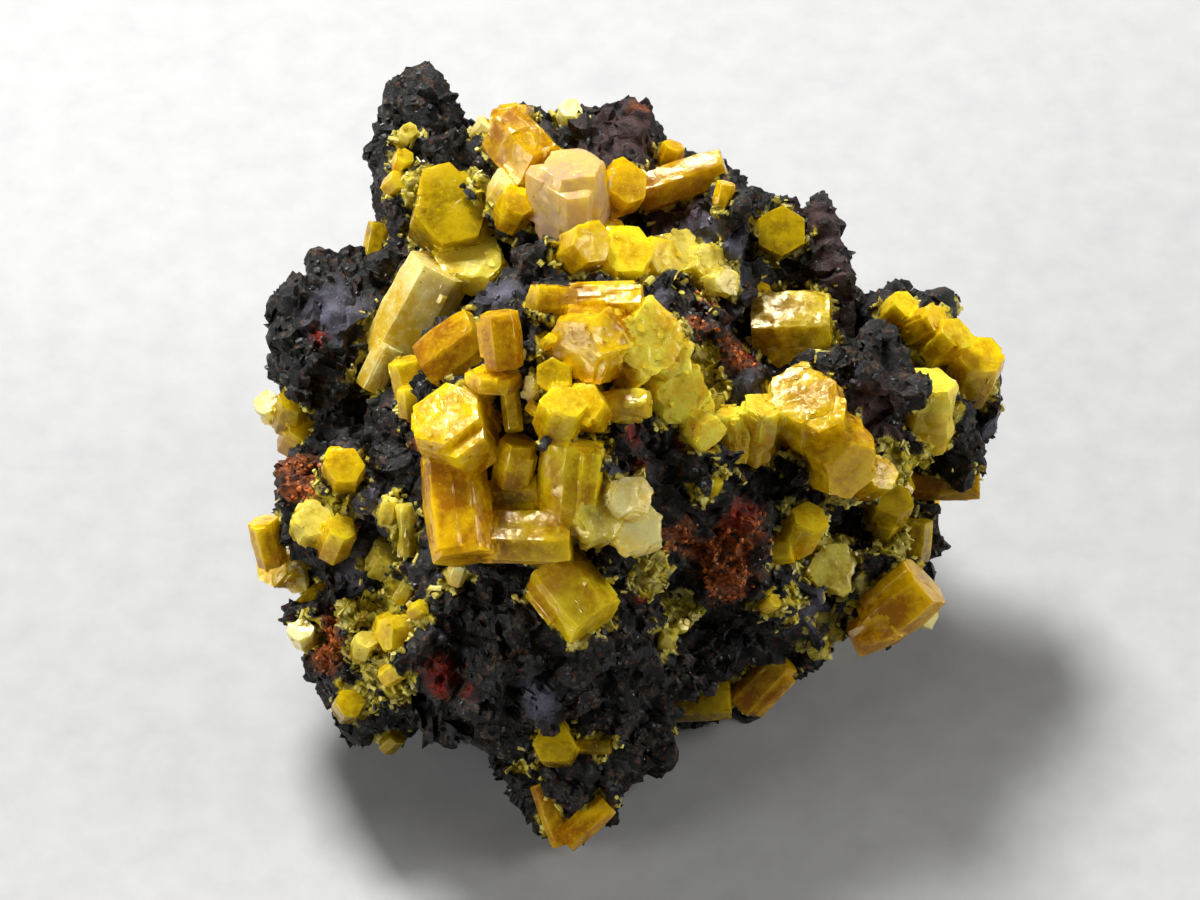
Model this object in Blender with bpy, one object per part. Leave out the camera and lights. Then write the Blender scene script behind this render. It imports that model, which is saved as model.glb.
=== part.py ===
"""Mimetite cluster: six-sided crystals grown on a loose lump of dark iron-rich rock.

The specimen is laid out in its display view. A place is given as across, up and out, in
millimetres from the middle of that view, where out is toward the viewer's eye. The rock
is a union of broken lumps with smaller chunks on them. Each crystal is seated where the
line of sight through its place meets the rock, crystals that overlap are joined in one
solid, and the rock is cut clear around them.
"""

import math
import random
from collections import namedtuple

import bmesh
import bpy
from mathutils import Matrix, Vector, noise
from mathutils.bvhtree import BVHTree

MM = 0.001
FIT_GAP = 0.3  # mm, kept between a crystal and the rock or crystals beside it

# The views that things are placed in: azimuth and elevation of the line of sight, degrees
DISPLAY = (0, 50)
BACK = (180, 8)
LEFT_FLANK = (-95, 5)
RIGHT_FLANK = (95, 0)
VIEW_MIDDLE = Vector((-1.5, 0.4, 13.3))  # mm, above the middle of the base
EYE_DISTANCE = 250.0  # mm

# The rock
FORM_VOXEL = 0.45  # mm, the grain at which the lumps are merged
ROCK_TRIANGLES = 2080
CHUNK_COUNT = 620
CHUNK_RADII = (0.7, 2.0)  # mm
SMALL_CHUNK_BIAS = 1.6  # above 1, most chunks are small
CHUNK_SINK = 0.35  # share of a chunk's radius that lies below the lump it sits on
BLOCK_SIZE = 3.0  # mm across, of the blocks that the rock breaks into
BLOCK_STEP = 0.9  # mm, by which neighbouring blocks stand proud
CRAG_SIZE = 4.5  # mm
CRAG_HEIGHT = 0.7  # mm
CRAG_MEAN = 1.2  # of the ridged noise, taken off so that crags rise and sink alike
LUMP_CORNERS = 30
CHUNK_CORNERS = 11
CORNER_REACH = (0.86, 1.1)  # of a lump's half size
CUTTER_SIZE = 80.0  # mm, of the cube that cuts the base flat
GOSSAN_COLOUR = (0.035, 0.028, 0.03)
GOSSAN_ROUGHNESS = 0.6

# The crystals
BEVELLED_RADIUS = 0.9  # mm, from which a crystal's free end is bevelled
BEVEL_SHARE = 0.14  # of the crystal's radius
FACE_REACH = (0.9, 1.06)  # how near and far a side face may stand, as a share of the mean
MIMETITE_COLOUR = (0.75, 0.5, 0.05)
MIMETITE_ROUGHNESS = 0.3

# The lumps seen in the display view: across, up, out, then their three half sizes, in mm
SEEN_LUMPS = (
    (-0.5, -1.0, -3.0, 13.0, 12.0, 12.0),  # core
    (-1.6, 1.0, 4.2, 8.5, 9.5, 8.0),  # summit
    (-2.5, -8.5, 1.5, 9.0, 6.5, 7.0),  # front, below the summit
    (-1.6, -16.0, -0.2, 2.5, 3.2, 3.4),  # bottom lobe
    (-10.6, -9.8, -1.0, 4.4, 4.8, 5.2),  # lower left
    (-12.0, -2.5, -1.0, 4.4, 5.2, 5.0),  # left shoulder
    (-12.8, 5.0, -2.5, 3.6, 5.0, 5.0),  # rounded left lobe
    (-9.0, 15.3, -6.0, 2.75, 3.8, 3.2),  # spur
    (-8.4, 11.2, -3.5, 3.2, 4.4, 4.2),  # foot of the spur
    (-2.0, 12.8, -2.0, 7.0, 4.4, 4.6),  # crest
    (1.6, 14.9, -3.4, 2.5, 2.4, 3.0),  # knob on the crest
    (5.6, 9.3, -1.4, 5.4, 4.8, 5.0),  # right crest
    (6.6, 10.6, 2.2, 1.1, 3.4, 2.2),  # ledge on the right crest
    (10.9, 8.4, -1.2, 1.6, 4.8, 3.6),  # right ridge
    (10.2, 1.0, -0.4, 5.4, 5.6, 6.0),  # right side
    (13.7, 2.8, 0.6, 1.7, 3.2, 2.8),  # dark column
    (16.0, 2.6, -3.6, 3.2, 3.4, 3.6),  # far right
    (15.4, 5.6, -3.4, 2.6, 1.9, 3.0),  # shoulder above it
    (19.0, 2.0, -5.2, 1.3, 1.2, 1.6),  # tip on the far right
    (12.6, -5.4, -3.0, 4.2, 4.4, 4.6),  # lower right
    (7.0, -6.6, -0.5, 4.8, 4.2, 5.2),  # right of the front
)

# The lumps hidden from that view: x, y, z, then their three half sizes, in mm
HIDDEN_LUMPS = (
    (0.0, 7.5, 9.5, 13.0, 8.0, 8.5),  # back
    (1.5, 0.0, 3.5, 10.0, 7.5, 5.0),  # foot
    (-5.0, 2.0, 3.5, 8.0, 7.5, 5.0),  # foot on the left
    (-2.6, -9.0, 3.0, 4.6, 5.0, 4.5),  # foot in front
)

# The view that each region's crystals are placed in, where it isn't the display view
REGION_VIEWS = {"back": BACK, "left_flank": LEFT_FLANK, "right_flank": RIGHT_FLANK}

# One crystal: its middle across and up in the view, its long axis in the same directions
# (across, up, out), the radius and length of its six-sided prism, how far its middle
# stands out of the rock, its turn about the axis in degrees (0 puts a flat face to the
# viewer, 30 an edge).
Crystal = namedtuple("Crystal", "across up axis radius length lift turn", defaults=(0,))
Placed = namedtuple("Placed", "region number view crystal middle")

CRYSTALS = {
    "centre": (
        Crystal(-2.3, 3.6, (0.0, 0.15, 0.98), 1.0, 1.8, 0.3, 30),
        Crystal(-2.0, 1.7, (0.2, 0.6, 0.78), 1.2, 2.6, 0.5, 10),
        Crystal(-0.6, 2.0, (-0.2, 0.3, 0.93), 1.15, 2.4, 0.5),
        Crystal(-2.4, 7.3, (-0.95, 0.05, 0.3), 1.1, 2.2, 0.9, 20),
        Crystal(0.3, 7.4, (1.0, 0.02, 0.1), 1.15, 3.6, 0.8, 30),
        Crystal(-0.4, 5.3, (-0.55, -0.2, 0.8), 2.0, 3.4, 0.5, 10),
        Crystal(2.0, 5.0, (0.3, 0.2, 0.93), 2.2, 3.6, 0.5, 20),
        Crystal(3.3, 3.3, (0.4, -0.3, 0.86), 1.7, 3.4, 0.4, 0),
        Crystal(4.5, 2.4, (0.7, -0.4, 0.6), 1.1, 2.0, 0.3),
        Crystal(1.1, 2.2, (1.0, 0.1, 0.2), 1.0, 2.8, 0.7, 30),
        Crystal(5.0, 1.0, (0.5, -0.3, 0.8), 1.0, 2.0, 0.4, 10),
    ),
    "left": (
        Crystal(-9.2, 6.9, (0.47, 0.85, 0.27), 1.85, 5.5, 1.0, 8),
        Crystal(-9.6, 3.6, (-0.2, 0.95, 0.3), 1.0, 2.0, 1.4, 5),
        Crystal(-9.4, 2.2, (-0.1, 0.95, 0.2), 0.85, 2.0, 0.8, 10),
        Crystal(-11.0, 4.2, (0.45, 0.85, 0.27), 0.95, 2.6, 0.8, 20),
        Crystal(-7.3, 5.0, (0.8, 0.56, 0.2), 1.55, 3.3, 0.9, 12),
        Crystal(-4.9, 5.5, (-0.1, 0.97, 0.2), 1.1, 2.8, 0.8, 8),
        Crystal(-5.3, 3.5, (0.05, 0.93, 0.36), 1.35, 0.9, 0.9, 0),
    ),
    "front": (
        Crystal(-7.1, 0.9, (-0.35, 0.55, 0.75), 2.15, 3.4, 0.8, 5),
        Crystal(-7.1, -2.8, (0.12, -0.96, 0.25), 1.75, 5.4, 0.9, 10),
        Crystal(-4.3, -0.6, (0.2, 0.9, 0.4), 1.1, 2.4, 0.5, 15),
        Crystal(-4.3, -2.2, (1.0, 0.1, 0.2), 1.0, 2.6, 0.0, 25),
        Crystal(-3.6, -4.3, (1.0, -0.02, 0.1), 1.6, 4.4, 0.9, 30),
        Crystal(-1.5, -1.6, (0.1, 0.95, 0.3), 1.75, 4.6, 0.3, 15),
        Crystal(-0.2, -3.6, (0.4, 0.3, 0.85), 1.3, 1.8, 0.5),
        Crystal(1.7, -3.9, (0.2, 0.35, 0.9), 1.6, 1.2, 0.6, 20),
        Crystal(1.5, -2.4, (0.4, 0.3, 0.85), 1.2, 1.2, 0.5, 0),
        Crystal(-1.3, -7.2, (0.6, -0.75, 0.28), 1.75, 3.7, 0.9, 0),
    ),
    "crest": (
        Crystal(-3.8, 14.9, (0.6, -0.6, 0.5), 1.85, 3.3, 0.6, 30),
        Crystal(-4.4, 16.4, (0.9, 0.1, 0.3), 0.95, 2.0, 0.0, 10),
        Crystal(-1.5, 16.6, (0.1, 0.6, 0.8), 0.8, 1.7, 0.4),
        Crystal(-1.4, 12.4, (0.0, 0.83, 0.55), 2.25, 4.4, 1.0, 12),
        Crystal(1.0, 13.0, (0.3, 0.3, 0.9), 1.35, 2.4, 1.0, 20),
        Crystal(4.1, 13.5, (0.95, 0.31, 0.1), 1.15, 4.6, 1.5, 30),
        Crystal(3.5, 14.7, (0.3, 0.8, 0.5), 0.7, 1.4, 0.8),
    ),
    "spur": (
        Crystal(-7.5, 11.6, (0.1, 0.3, 0.95), 2.15, 3.4, 0.6, 15),
        Crystal(-6.5, 9.4, (0.05, 0.55, 0.83), 1.95, 1.5, 2.8, 0),
        Crystal(-4.9, 13.1, (0.4, 0.6, 0.7), 0.8, 1.8, 0.5),
        Crystal(-4.3, 12.0, (0.3, 0.5, 0.8), 1.05, 2.0, 0.6, 10),
        Crystal(-11.2, 10.4, (0.2, 1.0, 0.1), 0.7, 2.1, 0.2),
    ),
    "upper": (
        Crystal(0.5, 10.6, (0.3, 0.6, 0.7), 0.8, 1.8, 1.0, 20),
        Crystal(-1.0, 9.9, (0.5, 0.3, 0.8), 1.3, 2.6, 0.5, 10),
        Crystal(1.1, 9.4, (0.2, 0.5, 0.85), 1.7, 2.8, 0.5, 25),
        Crystal(2.6, 9.2, (0.6, 0.3, 0.8), 1.3, 2.4, 0.4),
        Crystal(3.8, 9.7, (0.1, 0.4, 0.9), 1.3, 1.4, 0.6, 15),
        Crystal(5.4, 9.1, (0.5, 0.3, 0.8), 1.35, 1.3, 0.7, 5),
        Crystal(6.0, 8.3, (0.6, 0.1, 0.8), 0.9, 1.3, 0.5),
    ),
    "ledge": (
        Crystal(9.0, 10.8, (0.05, 0.1, 0.99), 1.45, 2.6, 0.7, 30),
        Crystal(9.6, 6.2, (1.0, 0.03, 0.1), 1.95, 4.0, 1.1, 30),
    ),
    "right": (
        Crystal(10.3, 1.7, (-0.1, 0.5, 0.86), 2.35, 4.2, 0.7, 15),
        Crystal(11.8, -0.2, (0.4, -0.5, 0.77), 2.0, 3.6, 0.5, 5),
        Crystal(6.7, 0.8, (-0.1, 0.9, 0.42), 0.95, 2.6, 0.5, 10),
        Crystal(8.0, 1.0, (0.1, 0.8, 0.6), 1.2, 3.2, 0.5, 25),
        Crystal(13.6, -1.5, (0.5, 0.3, 0.8), 1.0, 2.2, 0.4),
        Crystal(14.6, -1.9, (0.6, 0.2, 0.8), 0.9, 2.0, 0.5),
        Crystal(16.4, 1.9, (0.05, 0.8, 0.6), 1.4, 4.0, 0.8, 8),
        Crystal(14.9, 6.9, (0.5, 0.5, 0.7), 0.9, 1.8, 0.3),
        Crystal(16.2, 6.2, (0.6, 0.3, 0.7), 0.95, 2.2, 0.3),
        Crystal(17.2, 5.4, (0.5, 0.5, 0.7), 1.1, 2.2, 0.3),
        Crystal(18.6, 3.8, (0.2, 0.6, 0.77), 1.45, 3.2, 0.2, 20),
        Crystal(17.2, -1.7, (1.0, 0.0, 0.1), 0.95, 3.7, 1.0, 0),
        Crystal(14.4, -3.0, (0.2, 0.5, 0.84), 1.2, 2.4, 0.4),
        Crystal(15.8, -4.5, (0.1, 1.0, 0.2), 0.9, 2.2, 0.3),
    ),
    "lower_right": (
        Crystal(15.0, -7.7, (0.7, 0.6, 0.3), 1.7, 3.6, 0.3, 10),
        Crystal(13.8, -9.0, (0.8, 0.4, 0.4), 1.1, 2.4, 0.2),
        Crystal(8.1, -11.6, (0.65, 0.7, 0.2), 1.1, 3.4, 0.2),
        Crystal(5.0, -12.6, (1.0, 0.05, 0.1), 1.1, 3.2, 0.2),
        Crystal(8.8, -5.0, (1.0, 0.1, 0.3), 0.8, 1.9, 0.4),
        Crystal(10.1, -4.0, (0.3, 0.6, 0.7), 1.1, 2.4, 0.3),
        Crystal(11.5, -6.0, (0.3, 0.3, 0.9), 1.5, 1.4, 0.5),
    ),
    "foot": (
        Crystal(-2.2, -14.8, (-0.1, 0.2, 0.97), 1.25, 2.2, 0.3),
        Crystal(-2.4, -18.2, (0.34, -0.94, 0.0), 0.75, 3.4, 0.0),
        Crystal(-0.7, -18.6, (0.74, 0.67, 0.0), 0.8, 3.0, 0.0),
    ),
    "left_side": (
        Crystal(-16.5, 2.0, (-0.3, 0.5, 0.8), 0.8, 1.6, 0.0),
        Crystal(-15.4, 1.9, (0.2, 0.6, 0.7), 1.0, 2.2, 0.2),
        Crystal(-15.0, 0.7, (0.3, 0.5, 0.8), 1.1, 2.2, 0.3),
        Crystal(-12.8, -1.1, (0.1, 0.3, 0.94), 1.2, 2.4, 0.4),
        Crystal(-16.6, -4.6, (-0.2, 0.9, 0.3), 0.95, 2.5, 0.0),
        Crystal(-14.4, -3.7, (0.1, 0.4, 0.9), 1.1, 2.2, 0.3),
        Crystal(-13.2, -4.5, (0.3, 0.6, 0.7), 0.95, 2.2, 0.4),
        Crystal(-15.2, -6.1, (-0.1, 0.7, 0.7), 0.85, 1.9, 0.2),
    ),
    "lower_left": (
        Crystal(-10.7, -9.2, (0.3, 0.6, 0.7), 0.9, 1.8, 0.3),
        Crystal(-11.9, -9.9, (0.2, 0.7, 0.7), 0.7, 1.6, 0.3),
        Crystal(-10.3, -11.1, (0.6, 0.4, 0.7), 0.7, 1.5, 0.3),
        Crystal(-14.8, -9.3, (-0.2, 0.5, 0.8), 0.75, 1.6, 0.1),
        Crystal(-12.6, -12.8, (0.2, 0.3, 0.9), 0.9, 1.6, 0.1),
        Crystal(-10.6, -5.4, (0.3, 0.5, 0.8), 1.1, 2.0, 0.3, 0),
    ),
    "back": (
        Crystal(-6.0, -1.5, (0.3, 0.6, 0.7), 1.6, 3.2, 0.5, 10),
        Crystal(-4.0, -2.6, (-0.5, 0.5, 0.7), 1.1, 2.6, 0.4),
        Crystal(5.0, 1.0, (0.2, 0.3, 0.9), 1.3, 2.6, 0.3, 20),
        Crystal(6.7, 0.0, (0.8, 0.3, 0.5), 0.95, 2.6, 0.4),
        Crystal(0.5, -6.0, (-0.3, 0.5, 0.8), 1.2, 2.6, 0.3),
        Crystal(9.5, -5.0, (0.5, 0.1, 0.85), 1.2, 2.6, 0.3, 12),
    ),
    "left_flank": (
        Crystal(5.0, -7.0, (0.5, 0.6, 0.6), 1.2, 2.6, 0.3, 18),
        Crystal(6.6, -7.8, (0.8, -0.2, 0.6), 0.9, 2.2, 0.3),
        Crystal(11.0, -3.0, (0.5, 0.3, 0.8), 1.0, 2.0, 0.3),
    ),
    "right_flank": (
        Crystal(0.0, -6.0, (0.3, -0.4, 0.9), 1.2, 2.6, 0.3, 14),
        Crystal(-6.0, -8.0, (-0.5, 0.3, 0.8), 1.0, 2.2, 0.3),
    ),
}


def between(low, high, share):
    return low + (high - low) * share


def view_axes(view):
    """A view's directions as columns: across, up and out toward the eye."""
    azimuth, elevation = map(math.radians, view)
    across = Vector((math.cos(azimuth), math.sin(azimuth), 0))
    out = across.cross(Vector((0, 0, 1))) * math.cos(elevation) + Vector((0, 0, math.sin(elevation)))
    return Matrix((across, out.cross(across), out)).transposed()


def eye_of(view):
    return VIEW_MIDDLE + view_axes(view).col[2] * EYE_DISTANCE


def point_in_view(view, across, up, out):
    """The point at that depth on the sight line through a place in the view."""
    on_plane = VIEW_MIDDLE + view_axes(view) @ Vector((across, up, 0))
    return eye_of(view).lerp(on_plane, (EYE_DISTANCE - out) / EYE_DISTANCE)


# ---------------------------------------------------------------- the rock's form


def add_chunk(form, chance, centre, half_sizes, axes, corners):
    """Adds one broken lump: the hull of jittered points on an ellipsoid."""
    golden = math.pi * (3 - math.sqrt(5))
    start = chance.random() * math.tau
    made = []
    for k in range(corners):
        height = 1 - 2 * (k + 0.5) / corners
        ring = math.sqrt(1 - height * height)
        turn = start + golden * k
        point = Vector((ring * math.cos(turn), ring * math.sin(turn), height))
        point *= chance.uniform(*CORNER_REACH)
        scaled = Vector(a * b for a, b in zip(point, half_sizes))
        made.append(form.verts.new(centre + axes @ scaled))
    hull = bmesh.ops.convex_hull(form, input=made)
    unused = set(hull["geom_unused"] + hull["geom_interior"])
    spare = [v for v in unused if isinstance(v, bmesh.types.BMVert)]
    bmesh.ops.delete(form, geom=spare, context="VERTS")


def random_axes(chance):
    turns = [chance.uniform(0, math.tau) for _ in range(3)]
    axes = Matrix.Identity(3)
    for turn, letter in zip(turns, "XYZ"):
        axes = axes @ Matrix.Rotation(turn, 3, letter)
    return axes


def add_surface_chunks(form, chance):
    """Small chunks over the lumps, each where a random inward ray first meets them."""
    tree = BVHTree.FromBMesh(form)
    for _ in range(CHUNK_COUNT):
        away = Vector((chance.gauss(0, 1), chance.gauss(0, 1), chance.gauss(0, 1))).normalized()
        target = Vector((chance.uniform(-9, 11), chance.uniform(-6, 9), chance.uniform(3, 17)))
        radius = between(*CHUNK_RADII, chance.random() ** SMALL_CHUNK_BIAS)
        sizes = [radius * chance.uniform(0.6, 1.3) for _ in range(3)]
        axes = random_axes(chance)
        hit = tree.ray_cast(target + away * 60, -away)[0]
        if hit is not None:
            add_chunk(form, chance, hit - away * radius * CHUNK_SINK, sizes, axes, CHUNK_CORNERS)


def rock_form():
    """The whole rock, before it is cut flat below: a bmesh in mm of overlapping hulls."""
    chance = random.Random(41)
    form = bmesh.new()
    for across, up, out, *half_sizes in SEEN_LUMPS:
        middle = point_in_view(DISPLAY, across, up, out)
        add_chunk(form, chance, middle, half_sizes, view_axes(DISPLAY), LUMP_CORNERS)
    for x, y, z, *half_sizes in HIDDEN_LUMPS:
        add_chunk(form, chance, Vector((x, y, z)), half_sizes, Matrix.Identity(3), LUMP_CORNERS)
    add_surface_chunks(form, chance)
    return form


def crag(point):
    """How far the rock stands proud at a point, in mm: stepped blocks and a rough swell."""
    corner = noise.voronoi(point / BLOCK_SIZE)[1][0]
    step = noise.noise(corner * 5.3) * BLOCK_STEP
    swell = noise.ridged_multi_fractal(point / CRAG_SIZE, 1.0, 2.1, 3, 1.0, 2.0)
    return step + CRAG_HEIGHT * (swell - CRAG_MEAN)


def roughen(thing):
    vertices = thing.data.vertices
    moved = [v.co + v.normal * crag(v.co / MM) * MM for v in vertices]
    for vertex, place in zip(vertices, moved):
        vertex.co = place


# ---------------------------------------------------------------- objects and modifiers


def modifier_result(thing):
    """Replaces an object's mesh with what its modifiers make of it."""
    evaluated = thing.evaluated_get(bpy.context.evaluated_depsgraph_get())
    made = bpy.data.meshes.new_from_object(evaluated)
    thing.modifiers.clear()
    thing.data = made


def new_object(name, bm):
    """An object from a bmesh in mm."""
    mesh = bpy.data.meshes.new(name)
    bmesh.ops.recalc_face_normals(bm, faces=bm.faces)
    bmesh.ops.scale(bm, vec=(MM,) * 3, verts=bm.verts)
    bm.to_mesh(mesh)
    bm.free()
    thing = bpy.data.objects.new(name, mesh)
    bpy.context.collection.objects.link(thing)
    return thing


def combine(thing, other, operation, solver="EXACT"):
    """Joins another object to this one, or cuts it away, and removes the other."""
    step = thing.modifiers.new(operation, "BOOLEAN")
    step.operation = operation
    step.object = other
    step.solver = solver
    modifier_result(thing)
    bpy.data.objects.remove(other)


def keep_largest_body(thing):
    bm = bmesh.new()
    bm.from_mesh(thing.data)
    left = set(bm.verts)
    bodies = []
    while left:
        spread = [left.pop()]
        body = set(spread)
        while spread:
            vertex = spread.pop()
            fresh = {edge.other_vert(vertex) for edge in vertex.link_edges} & left
            left -= fresh
            body |= fresh
            spread.extend(fresh)
        bodies.append(body)
    bodies.sort(key=len)
    for body in bodies[:-1]:
        bmesh.ops.delete(bm, geom=list(body), context="VERTS")
    bm.to_mesh(thing.data)
    bm.free()


def material(name, colour, roughness):
    made = bpy.data.materials.new(name)
    made.use_nodes = True
    shader = made.node_tree.nodes["Principled BSDF"]
    shader.inputs["Base Color"].default_value = (*colour, 1)
    shader.inputs["Roughness"].default_value = roughness
    return made


# ---------------------------------------------------------------- crystals


def hexagon(chance, crystal, grow):
    """The corners of the prism's section: six faces, each a little nearer or further."""
    reach = crystal.radius * math.cos(math.pi / 6)
    away = [reach * chance.uniform(*FACE_REACH) + grow for _ in range(6)]
    corners = []
    for k in range(6):
        turn = math.radians(crystal.turn + 60 * k)
        along = (away[(k + 1) % 6] - away[k] * 0.5) / math.sin(math.pi / 3)
        x = away[k] * math.cos(turn) - along * math.sin(turn)
        y = away[k] * math.sin(turn) + along * math.cos(turn)
        corners.append(Vector((x, y, 0)))
    return corners


def crystal_axes(view, crystal):
    """A crystal's directions as columns: facing the viewer, beside that, and along it."""
    axes = view_axes(view)
    along = (axes @ Vector(crystal.axis)).normalized()
    toward = axes.col[2] if abs(along.dot(axes.col[2])) < 0.9 else axes.col[1]
    first = (toward - along * toward.dot(along)).normalized()
    return Matrix((first, along.cross(first), along)).transposed()


def crystal_bmesh(placed, grow=0.0):
    """One six-sided prism in mm. A large one's free end is bevelled, but not a grown one's."""
    crystal = placed.crystal
    corners = hexagon(random.Random(placed.number), crystal, grow)
    half = crystal.length / 2 + grow
    bevel = crystal.radius * BEVEL_SHARE
    rings = [(-half, 1.0), (half, 1.0)]
    if not grow and crystal.radius >= BEVELLED_RADIUS:
        rings = [(-half, 1.0), (half - bevel, 1.0), (half, 1 - BEVEL_SHARE)]
    axes = crystal_axes(placed.view, crystal)
    bm = bmesh.new()
    made = []
    for height, share in rings:
        ring = [corner * share + Vector((0, 0, height)) for corner in corners]
        made.append([bm.verts.new(placed.middle + axes @ point) for point in ring])
    for low, high in zip(made, made[1:]):
        for k in range(6):
            bm.faces.new((low[k], low[(k + 1) % 6], high[(k + 1) % 6], high[k]))
    bm.faces.new(made[0][::-1])
    bm.faces.new(made[-1])
    return bm


def seat(view, crystal, rock_tree):
    """The crystal's middle: where its line of sight meets the rock, plus its lift.

    A line that misses the rock has the crystal beside the rock, where it passes nearest.
    """
    eye = eye_of(view)
    aim = (point_in_view(view, crystal.across, crystal.up, 0) - eye).normalized()
    hit = rock_tree.ray_cast(eye * MM, aim)[0]
    if hit is not None:
        return hit / MM - aim * crystal.lift
    passed = [eye + aim * (EYE_DISTANCE + step * 0.5) for step in range(-20, 40)]
    return min(passed, key=lambda point: rock_tree.find_nearest(point * MM)[3])


def seated_crystals(rock_tree):
    """Every crystal as its region, its number, its view, itself and its middle."""
    listed = [(region, crystal) for region, rows in CRYSTALS.items() for crystal in rows]
    placed = []
    for number, (region, crystal) in enumerate(listed):
        view = REGION_VIEWS.get(region, DISPLAY)
        placed.append(Placed(region, number, view, crystal, seat(view, crystal, rock_tree)))
    return placed


def touching_groups(placed):
    """The crystals gathered into groups whose members overlap in a chain."""
    trees = {}
    for one in placed:
        bm = crystal_bmesh(one)
        trees[one.number] = BVHTree.FromBMesh(bm)
        bm.free()
    left = list(placed)
    groups = []
    while left:
        group = [left.pop(0)]
        for member in group:
            joined = [one for one in left if trees[member.number].overlap(trees[one.number])]
            group.extend(joined)
            left = [one for one in left if one not in joined]
        groups.append(group)
    return groups


def add_crystal_nodes(groups):
    """One object for each group of crystals that grew together, named by its region."""
    yellow = material("mimetite", MIMETITE_COLOUR, MIMETITE_ROUGHNESS)
    counts = {}
    for group in groups:
        region = group[0].region
        counts[region] = counts.get(region, 0) + 1
        kind = "crystals" if len(group) > 1 else "crystal"
        node = new_object(f"{region}_{kind}_{counts[region]}", crystal_bmesh(group[0]))
        for one in group[1:]:
            combine(node, new_object("joined", crystal_bmesh(one)), "UNION")
        node.data.materials.append(yellow)


# ---------------------------------------------------------------- the rock's object


def add_rough_rock():
    rock = new_object("gossan_matrix", rock_form())
    merge = rock.modifiers.new("merge", "REMESH")
    merge.mode = "VOXEL"
    merge.voxel_size = FORM_VOXEL * MM
    modifier_result(rock)
    roughen(rock)
    return rock


def thin_out(rock):
    rock.data.calc_loop_triangles()
    thin = rock.modifiers.new("thin", "DECIMATE")
    thin.ratio = ROCK_TRIANGLES / len(rock.data.loop_triangles)
    thin.use_collapse_triangulate = True
    modifier_result(rock)


def cut_base(rock):
    """Cuts the rock off flat at its resting face, z = 0."""
    below = bmesh.new()
    bmesh.ops.create_cube(below, size=CUTTER_SIZE, matrix=Matrix.Translation((0, 0, -CUTTER_SIZE / 2)))
    combine(rock, new_object("below", below), "DIFFERENCE")


def cut_sockets(rock, placed):
    """Cuts every crystal's room out of the rock, FIT_GAP wider than the crystal."""
    sockets = new_object("sockets", crystal_bmesh(placed[0], FIT_GAP))
    for one in placed[1:]:
        combine(sockets, new_object("socket", crystal_bmesh(one, FIT_GAP)), "UNION", "MANIFOLD")
    combine(rock, sockets, "DIFFERENCE", "MANIFOLD")
    keep_largest_body(rock)


def main():
    for thing in list(bpy.data.objects):
        bpy.data.objects.remove(thing)
    rock = add_rough_rock()
    placed = seated_crystals(BVHTree.FromObject(rock, bpy.context.evaluated_depsgraph_get()))
    thin_out(rock)
    cut_base(rock)
    cut_sockets(rock, placed)
    rock.data.materials.clear()
    rock.data.materials.append(material("gossan", GOSSAN_COLOUR, GOSSAN_ROUGHNESS))
    add_crystal_nodes(touching_groups(placed))


main()
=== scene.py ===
"""Mimetite cluster, dressed: waxy six-sided crystals on a crumbling, iron-rich rock.

Places are given as across, up and out in the display view, in mm, as the solids' are.
Meshes are worked out in mm and become metres when they are made objects.
"""

import math
import random
from collections import namedtuple

import bmesh
import bpy
import numpy as np
from mathutils import Matrix, Vector, noise
from mathutils.bvhtree import BVHTree


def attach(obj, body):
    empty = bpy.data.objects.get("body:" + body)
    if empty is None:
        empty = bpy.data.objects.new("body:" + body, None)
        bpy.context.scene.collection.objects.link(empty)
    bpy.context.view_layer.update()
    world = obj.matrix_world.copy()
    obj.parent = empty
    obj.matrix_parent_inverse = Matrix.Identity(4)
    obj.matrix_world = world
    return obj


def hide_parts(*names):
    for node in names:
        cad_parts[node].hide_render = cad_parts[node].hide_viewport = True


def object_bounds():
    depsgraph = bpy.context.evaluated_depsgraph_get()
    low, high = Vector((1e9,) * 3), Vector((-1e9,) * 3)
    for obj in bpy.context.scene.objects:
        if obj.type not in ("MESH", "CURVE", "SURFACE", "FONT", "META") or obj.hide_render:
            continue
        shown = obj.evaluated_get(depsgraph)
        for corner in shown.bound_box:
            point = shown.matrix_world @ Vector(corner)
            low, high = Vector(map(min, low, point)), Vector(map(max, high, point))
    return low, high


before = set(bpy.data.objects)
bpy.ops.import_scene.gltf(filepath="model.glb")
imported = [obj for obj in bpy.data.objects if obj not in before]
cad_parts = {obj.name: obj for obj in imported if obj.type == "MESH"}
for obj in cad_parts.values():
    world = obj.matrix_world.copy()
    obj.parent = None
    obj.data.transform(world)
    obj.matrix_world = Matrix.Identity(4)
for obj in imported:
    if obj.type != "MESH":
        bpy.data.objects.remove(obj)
CAD_LOW, CAD_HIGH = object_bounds()

MM = 0.001

# The views that things are placed in: azimuth and elevation of the line of sight, degrees
DISPLAY = (0, 50)
BACK = (180, 8)
LEFT_FLANK = (-95, 5)
RIGHT_FLANK = (95, 0)
VIEW_MIDDLE = Vector((-1.5, 0.4, 13.3))  # mm, above the middle of the base
EYE_DISTANCE = 250.0  # mm
VIEW_WIDTH = 60.0  # mm, across the picture at the view's middle
SENSOR_WIDTH = 36  # mm
FLOOR_REACH = 900  # mm

# A cell's own value is noise at its corner times one of these
BLOCK_DRAW = 5.3
FACET_DRAW = 5.7
STEP_DRAW = 4.1

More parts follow.
